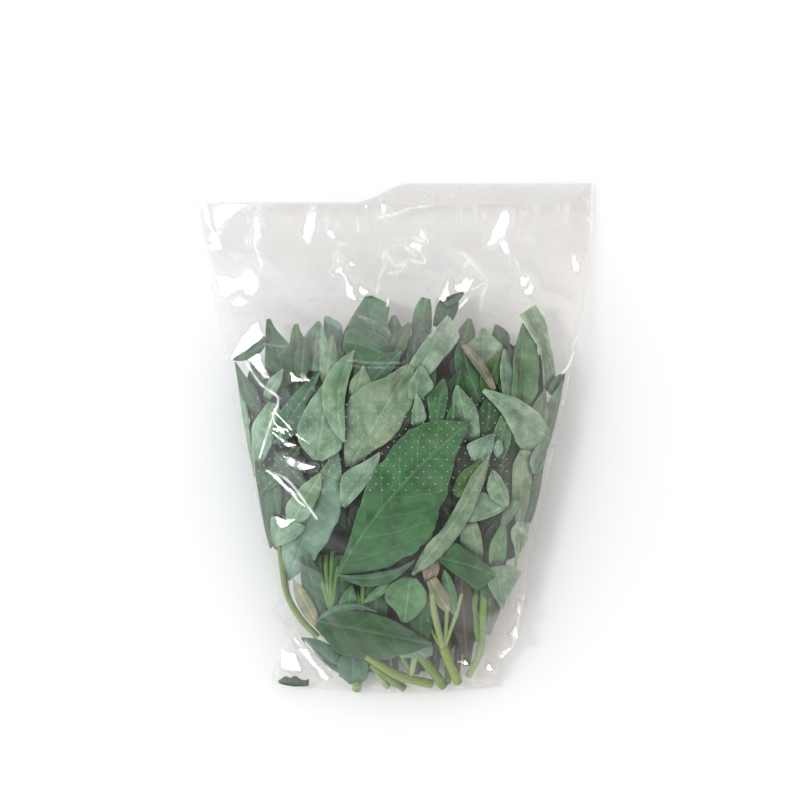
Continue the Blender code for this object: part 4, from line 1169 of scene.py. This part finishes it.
def make_leaves(materials):
    """Both stacks of leaves: each is laid first, and then shaded by what stands around it."""
    draw = np.random.default_rng(5)
    meshes = {"green": LeafMesh(), "pale": LeafMesh(), "under": LeafMesh()}
    hidden = seeded_leaves(draw, 60, (-66, 24), 0.8, HIDDEN_TONES)
    below = seeded_leaves(draw, 58, (-68, 28), 0.82, UNDER_TONES)
    for face, rows, first_shown in ((1, hidden + list(TOP_LEAVES), len(hidden)), (-1, below, 0)):
        stack = Stack(face)
        laid = []
        for k, row in enumerate(rows):
            seed = float(draw.uniform(0, 1))
            x, y, across, along_leaf, rim = leaf_plan(row, seed)
            relief = leaf_relief(across, along_leaf, rim, seed, row.arch, draw.uniform(-1, 1, 2))
            left_over = 1 - k / len(rows)
            wanted = stack.limit(x, y) - STACK_DEPTH * left_over - LEAST_DEPTH + relief
            z = stack.lay(x, y, wanted, HEADROOM * left_over)
            kind = "under" if face < 0 else "pale" if row.tone in PALE_TONES else "green"
            colour = own_colour(row.tone) * (1.0 if k >= first_shown else HIDDEN_SHADE)
            laid.append((kind, x, y, z, across, along_leaf, rim, colour, seed))
        stack.soften()
        for kind, x, y, z, across, along_leaf, rim, colour, seed in laid:
            # painted shade: each leaf's colour is darkened where leaves stand higher close by
            tone = colour * stack.light(x, y, z)[:, :, None]
            meshes[kind].add(x, y, z, face, across, along_leaf, rim, tone, seed)
    return [mesh.piece(f"leaves_{kind}", materials[kind]) for kind, mesh in meshes.items()]


# --- stems ------------------------------------------------------------------------------
STEM_SIDES = 12
STEM_STEP = 1.6
Stem = namedtuple("Stem", "points width depth tone")
STEMS = (
    Stem(((-57, -50), (-53.5, -76), (-47, -89), (-38, -99)), 3.0, 3.0, (130, 152, 85)),
    Stem(((-37, -58), (-36, -68), (-31, -86), (-22, -108)), 3.2, 4.2, (116, 148, 92)),
    Stem(((-33.5, -58), (-33, -70), (-31, -86)), 2.5, 3.4, (114, 146, 90)),
    Stem(((-30, -56), (-31, -70), (-31, -86)), 2.4, 3.0, (110, 144, 86)),
    Stem(((-26.5, -59), (-29, -72), (-31, -85)), 2.4, 3.2, (120, 152, 94)),
    Stem(((-15, -71), (-16, -86), (-18, -100)), 2.5, 4.2, (125, 165, 90)),
    Stem(((-18, -76), (-17, -88)), 1.6, 3.8, (125, 165, 90)),
    Stem(((-14, -108), (-4.5, -114.5), (3.5, -119), (19, -123)), 4.3, 3.2, (142, 162, 82)),
    Stem(((-11.5, -113), (-1, -121), (5.5, -125.5)), 3.5, 4.2, (120, 150, 90)),
    Stem(((-9, -117), (-3, -124.5)), 3.0, 4.2, (168, 180, 145)),
    Stem(((11, -106), (19, -116), (25, -124.5)), 4.5, 3.6, (118, 148, 68)),
    Stem(((11, -106), (8.5, -118)), 3.0, 3.8, (165, 188, 132)),
    Stem(((3, -107), (8, -116)), 2.5, 4.6, (130, 155, 95)),
    Stem(((24.5, -104), (28, -113.5), (32, -122)), 4.4, 3.2, (146, 166, 82)),
    Stem(((19, -70), (19.5, -84), (24.5, -105)), 3.2, 3.0, (165, 184, 130)),
    Stem(((26.5, -80), (25.5, -103)), 2.0, 3.0, (160, 182, 128)),
    Stem(((34.5, -72), (31, -87), (25, -104)), 1.9, 2.8, (165, 190, 140)),
    Stem(((15, -82), (18, -94), (24, -105)), 1.5, 3.4, (150, 175, 115)),
    Stem(((44.5, -72), (44, -89), (43, -106), (37, -119)), 3.4, 3.2, (132, 166, 92)),
    Stem(((40.5, -75), (40, -86), (42, -101)), 3.0, 3.8, (115, 155, 85)),
    Stem(((47.5, -74), (46.5, -91), (43, -104)), 2.0, 3.8, (140, 130, 90)),
    Stem(((-18.5, -122), (-18.5, -126)), 4.4, 3.6, (152, 176, 130)),
    Stem(((62, -50), (61, -60), (59, -70)), 1.4, 2.6, (165, 188, 145)),
)
STEM_TOP_DEPTH = 8.0
STEM_SHADE = 0.78
LOWER_STEMS = 16


def smooth_route(points, step):
    """Points a step apart on a smooth curve through the given ones."""
    points = np.asarray(points, float)
    if len(points) == 2:
        points = np.stack([points[0], points.mean(axis=0), points[1]])
    ends = np.concatenate([2 * points[:1] - points[1:2], points, 2 * points[-1:] - points[-2:-1]])
    route = []
    for p0, p1, p2, p3 in zip(ends, ends[1:], ends[2:], ends[3:]):
        count = max(2, round(np.linalg.norm(p2 - p1) / step))
        for k in range(count):
            t = k / count
            route.append(0.5 * (2 * p1 + (p2 - p0) * t + (2 * p0 - 5 * p1 + 4 * p2 - p3) * t**2
                                + (3 * p1 - p0 - 3 * p2 + p3) * t**3))
    route.append(points[-1])
    return np.array(route)


STEM_RIDGES = 0.07  # a basil stem is a little square
NODE_SWELL, NODE_HALF = 0.16, 1.6  # the thicker place where leaves grew
NODE_PLACE = (14, 9)  # it stands this far along, and by its seed up to that much further
STEM_UNEVEN = 0.03
END_BULGE = 0.15
STEM_SEED_SPREAD = 40
PITH_GAIN, PITH_LIGHT, PALEST_PITH = 1.7, 0.08, 0.8


def tube_faces(index):
    """The faces round a tube, from the point numbers of its rings."""
    turned = np.roll(index, -1, axis=1)
    return np.stack([index[:-1], turned[:-1], turned[1:], index[1:]], axis=-1).reshape(-1, 4).tolist()


class TubeMesh(Gathered):
    """The stems."""

    def add(self, route, radius, tone, seed):
        """A stem along its route, with a paler cut face at both ends."""
        count = len(route)
        ahead = np.gradient(route, axis=0)
        ahead /= np.linalg.norm(ahead, axis=1)[:, None]
        side = np.cross(ahead, [0.0, 0.0, 1.0])
        side /= np.linalg.norm(side, axis=1)[:, None]
        up = np.cross(side, ahead)
        angle = 2 * math.pi * np.arange(STEM_SIDES) / STEM_SIDES
        square = 1 + STEM_RIDGES * np.cos(4 * angle)
        along_stem = np.arange(count) * STEM_STEP
        off_node = along_stem - NODE_PLACE[0] - NODE_PLACE[1] * seed
        swell = 1 + NODE_SWELL * np.exp(-((off_node / NODE_HALF) ** 2))
        swell += STEM_UNEVEN * np.sin(along_stem / 3 + 9 * seed)
        ring = side[:, None] * np.cos(angle)[None, :, None] + up[:, None] * np.sin(angle)[None, :, None]
        ring = route[:, None] + ring * (radius * swell)[:, None, None] * square[None, :, None]
        ends = np.stack([route[0] - ahead[0] * END_BULGE, route[-1] + ahead[-1] * END_BULGE])
        place = np.zeros((count * STEM_SIDES + 2, 3))
        place[:-2, 0] = np.tile(angle * radius, count)
        place[:-2, 1] = np.repeat(along_stem, STEM_SIDES)
        place[:-2, 2] = STEM_SEED_SPREAD * seed
        colours = np.tile([*tone, 1.0], (len(place), 1))
        colours[-2:, :3] = np.minimum(np.array(tone) * PITH_GAIN + PITH_LIGHT, PALEST_PITH)
        first = self.keep(np.concatenate([ring.reshape(-1, 3), ends]), place=place, tone=colours)
        index = np.arange(count * STEM_SIDES).reshape(count, STEM_SIDES) + first
        self.faces.extend(tube_faces(index))
        start_end = first + index.size
        last = first + index.size - STEM_SIDES
        for k in range(STEM_SIDES):
            beyond = (k + 1) % STEM_SIDES
            self.faces.append([start_end, first + beyond, first + k])
            self.faces.append([start_end + 1, last + k, last + beyond])


STEM_LIGHT = (0.01, 0.9)  # the darkest and lightest that a stem's own colour may be
DIVE_SHARE, DIVE_Y = 0.22, -100  # a stem that starts above this y rises from among the leaves
LOWER_STEM_TONE = (96, 110, 62)
LOWER_STEM_HEADROOM = 2.5
LOWER_TOPS, LOWER_ENDS = (-34, 40), (-27, 35)  # x of the first and of the last of them
LOWER_TOP_Y, LOWER_MIDDLE_Y, LOWER_END_Y = -66, -95, -122.5
LOWER_RADIUS = (1.4, 2.2)
LOWER_HEIGHT, LOWER_CLIMB, LOWER_STAGGER = 2.6, 10.0, 3.0


def between(pair, share):
    return pair[0] + (pair[1] - pair[0]) * share


def make_stems(material):
    """The stems that show, and then the seeded ones below them."""
    draw = np.random.default_rng(9)
    mesh = TubeMesh()
    for row in STEMS:
        plan = smooth_route(row.points, STEM_STEP)
        radius = row.width / 2
        low, high = inside(plan[:, 0], plan[:, 1])
        share = np.linspace(0, 1, len(plan))
        dive = smoothstep(DIVE_SHARE, 0.0, share) * (row.points[0][1] > DIVE_Y)
        depth = row.depth + (STEM_TOP_DEPTH - row.depth) * dive
        z = np.clip(high + FILM_GAP - depth, low + radius, np.maximum(high - radius, (low + high) / 2))
        tone = np.clip((STEM_SHADE * linear(row.tone) - VEIL_LIGHT) / FILM_GAIN, *STEM_LIGHT)
        mesh.add(np.column_stack([plan, z]), radius, tone, float(draw.uniform()))
    for k in range(LOWER_STEMS):
        share = k / (LOWER_STEMS - 1)
        top = (between(LOWER_TOPS, share), LOWER_TOP_Y)
        end_x = between(LOWER_ENDS, share) + draw.uniform(-3, 3)
        end = (end_x, LOWER_END_Y + draw.uniform(0, 9))
        radius = draw.uniform(*LOWER_RADIUS)
        middle = ((top[0] + end_x) / 2 + draw.uniform(-2, 2), LOWER_MIDDLE_Y)
        plan = smooth_route((top, middle, end), STEM_STEP)
        low, high = inside(plan[:, 0], plan[:, 1])
        wanted = LOWER_HEIGHT + LOWER_CLIMB * np.linspace(1, 0, len(plan)) + LOWER_STAGGER * (k % 2)
        highest = np.maximum(high - radius - LOWER_STEM_HEADROOM, (low + high) / 2)
        route = np.column_stack([plan, np.clip(wanted, low + radius, highest)])
        tone = linear(LOWER_STEM_TONE) * draw.uniform(0.5, 0.9)
        mesh.add(route, radius, tone, float(draw.uniform()))
    return mesh.piece("stems", material)


# --- the core ---------------------------------------------------------------------------
CoreStation = namedtuple("CoreStation", "y left right fullness")
CORE = (
    CoreStation(-113, -8, 20, 0.4),
    CoreStation(-102, -24, 32, 0.8),
    CoreStation(-87, -35, 42, 1.0),
    CoreStation(-66, -47, 54, 1.0),
    CoreStation(-38, -57, 60, 1.0),
    CoreStation(-8, -63, 68, 1.0),
    CoreStation(18, -66, 74, 1.0),
    CoreStation(33, -58, 64, 0.8),
    CoreStation(43, -40, 46, 0.3),
)
CORE_ROWS, CORE_COLUMNS = 60, 48
CORE_DEPTH = 9.5
CORE_FLOOR_GAP = 3.0
CORE_BOW = 7.0
CORE_MIDDLE = 0.35
CORE_EDGE = 2.0
CORE_BUMPS = (Relief(9, 111, 1.3), Relief(4, 121, 0.7))
CORE_BASE_BUMPS = 0.4


def make_core(material):
    """A dark body below the leaves, so that no gap between them shows the floor: its near-black colour is
    painted shade.
    """
    t = np.linspace(CORE[0].y, CORE[-1].y, CORE_ROWS + 1)[:, None]
    share = np.linspace(0, 1, CORE_COLUMNS + 1)[None, :]
    left, right, fullness = (along(CORE, t, field) for field in ("left", "right", "fullness"))
    x = left + (right - left) * share
    y = t + CORE_BOW * (1 - (2 * share - 1) ** 2)
    low, high = inside(x, y)
    edge = np.abs(2 * share - 1) ** 3
    bump = sum(waved(x, y, relief) for relief in CORE_BUMPS)
    middle = low + CORE_MIDDLE * (high - low)
    top = middle + (high - CORE_DEPTH - bump - middle) * fullness
    base = middle + (low + CORE_FLOOR_GAP + CORE_BASE_BUMPS * bump - middle) * fullness
    top += (middle + CORE_EDGE - top) * edge
    base += (middle - CORE_EDGE - base) * edge
    over = np.stack([x, y, top], axis=-1)
    under = np.stack([x, y, base], axis=-1)[:, ::-1]
    ring = np.concatenate([over, under], axis=1)
    index = np.arange(ring.size // 3).reshape(ring.shape[:2])
    faces = tube_faces(index)
    wide = CORE_COLUMNS + 1
    for row, flip in ((index[0], True), (index[-1], False)):
        upper, lower = row[:wide], row[wide:][::-1]
        quads = np.stack([upper[:-1], upper[1:], lower[1:], lower[:-1]], axis=-1)
        faces.extend((quads[:, ::-1] if flip else quads).tolist())
    return new_piece("core", ring.reshape(-1, 3), faces, material)


# --- the loose scrap --------------------------------------------------------------------
SCRAP_BASE, SCRAP_TIP = (-42.5, -122.5), (-59, -121.5)
SCRAP_LOWER_SIDE = (1.5, 1.8, 2.0, 2.2, 2.0, 1.8, 1.2, 0.4)
SCRAP_UPPER_SIDE = (2.2, 1.2, 2.0, 3.4, 2.0, 2.8, 1.0, 0.3)
SCRAP_SEED = 0.3
SCRAP_TWIST = 0.1


def make_scrap(material):
    """The scrap of leaf, which lies twisted between the two layers of film."""
    mesh = LeafMesh()
    row = leaf(SCRAP_BASE, SCRAP_TIP, 0, SCRAP_LOWER_SIDE, SCRAP_UPPER_SIDE, "scrap")
    x, y, across, along_leaf, rim = leaf_plan(row, SCRAP_SEED)
    low, high = bag_heights(bag_u(x, y), y)
    z = (low + high) / 2 + SCRAP_TWIST * np.sin(along_leaf / 2.2) * across
    tone = np.broadcast_to(own_colour(row.tone), (*x.shape, 3))
    mesh.add(x, y, z, 1, across, along_leaf, rim, tone, SCRAP_SEED)
    return mesh.piece("scrap", material)


# --- the stage --------------------------------------------------------------------------
# Lengths are in metres here.
CAMERA_HEIGHT = 2.5
VIEW_WIDTH = 0.4
VIEW_CENTRE = (0.003, 0.01875)
FLOOR_HALF = 6.0
FLOOR_DROP = 0.0002  # the floor lies this far below the bag
FLOOR_TONES = (rgba(0.92, 0.92, 0.92), rgba(0.95, 0.95, 0.95))
WINDOW_DISTANCE = 1.8
WINDOW_SIZE = (0.22, 0.42)
WINDOW_POWER = 7.0
CEILING = (0.45, 0.95)  # the sine of the height angle where it begins, and where it is dimmest
CEILING_LIGHT = 0.16
AROUND_LIGHT = 1.64
AROUND_TINTS = (rgba(1.15, 1.2, 1.22), rgba(0.9, 0.87, 0.85))  # from the left and the right
STRIP_SIZE = (0.35, 1.0)
STRIP_POWER = 0.35
STRIP_SLOPES = ((0.2, 0.05), (-0.24, 0.06))  # of film that mirrors one


def make_camera():
    data = bpy.data.cameras.new("camera")
    data.sensor_width = 36.0
    data.lens = data.sensor_width * CAMERA_HEIGHT / VIEW_WIDTH
    data.clip_end = 20.0
    camera = linked("camera", data)
    camera.location = (*VIEW_CENTRE, CAMERA_HEIGHT)
    bpy.context.scene.camera = camera


def make_floor():
    n = Nodes("floor")
    colour = n.mix(n.noise(n.place(), 6.0, 3.0), *FLOOR_TONES)
    mesh = bpy.data.meshes.new("floor")
    corners = [(x * FLOOR_HALF, y * FLOOR_HALF, 0) for x, y in ((-1, -1), (1, -1), (1, 1), (-1, 1))]
    mesh.from_pydata(corners, [], [(0, 1, 2, 3)])
    mesh.materials.append(n.painted(colour, 0.9))
    floor = linked("floor", mesh)
    floor.location.z = -FLOOR_DROP


def mirrored_up(slope):
    """Towards a light that a facet with this slope mirrors straight up."""
    normal = np.array([-slope[0], -slope[1], 1.0])
    normal /= np.linalg.norm(normal)
    return 2 * normal[2] * normal - np.array([0.0, 0.0, 1.0])


def area_light(name, slope, size, power):
    """A lamp that film with this slope mirrors straight up."""
    data = bpy.data.lights.new(name, "AREA")
    data.shape = "RECTANGLE"
    data.size, data.size_y = size
    data.energy = power
    light = linked(name, data)
    towards = Vector(mirrored_up(slope))
    light.location = towards * WINDOW_DISTANCE
    light.rotation_euler = towards.to_track_quat("Z", "Y").to_euler()


def make_world():
    """Soft light all round, brighter from the left, with a dim ceiling over the camera."""
    n = Nodes("studio", bpy.data.worlds, "OutputWorld")
    x, _, z = n.parts(n.place("Generated"))
    tint = n.mix(n.ramp(x, -0.7, 0.7), *AROUND_TINTS)
    light = n.ramp(z, *CEILING, AROUND_LIGHT, CEILING_LIGHT)
    bpy.context.scene.world = n.finish(n.add("Background", Color=tint, Strength=light))


def make_light():
    area_light("window", GLARE_SLOPE, WINDOW_SIZE, WINDOW_POWER)
    for k, slope in enumerate(STRIP_SLOPES):
        area_light(f"strip_{k}", slope, STRIP_SIZE, STRIP_POWER)
    make_world()
    bpy.context.scene.view_settings.view_transform = "Standard"


def main():
    make_camera()
    make_floor()
    make_light()
    leaf_finish = {
        "green": leaf_material("leaf_green", 0.48, 0.46),
        "pale": leaf_material("leaf_pale", 0.42, 0.58),
        "under": leaf_material("leaf_under", 0.3, 0.55),
    }
    bunch = make_leaves(leaf_finish)
    bunch.append(make_stems(stem_material()))
    bunch.append(make_core(core_material()))
    for piece in bunch:
        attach(piece, "root")
        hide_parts("basil_bunch")
    film = make_film()
    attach(film, "root")
    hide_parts("bag_film")
    scrap = make_scrap(leaf_finish["green"])
    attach(scrap, "root")
    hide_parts("leaf_scrap")


main()
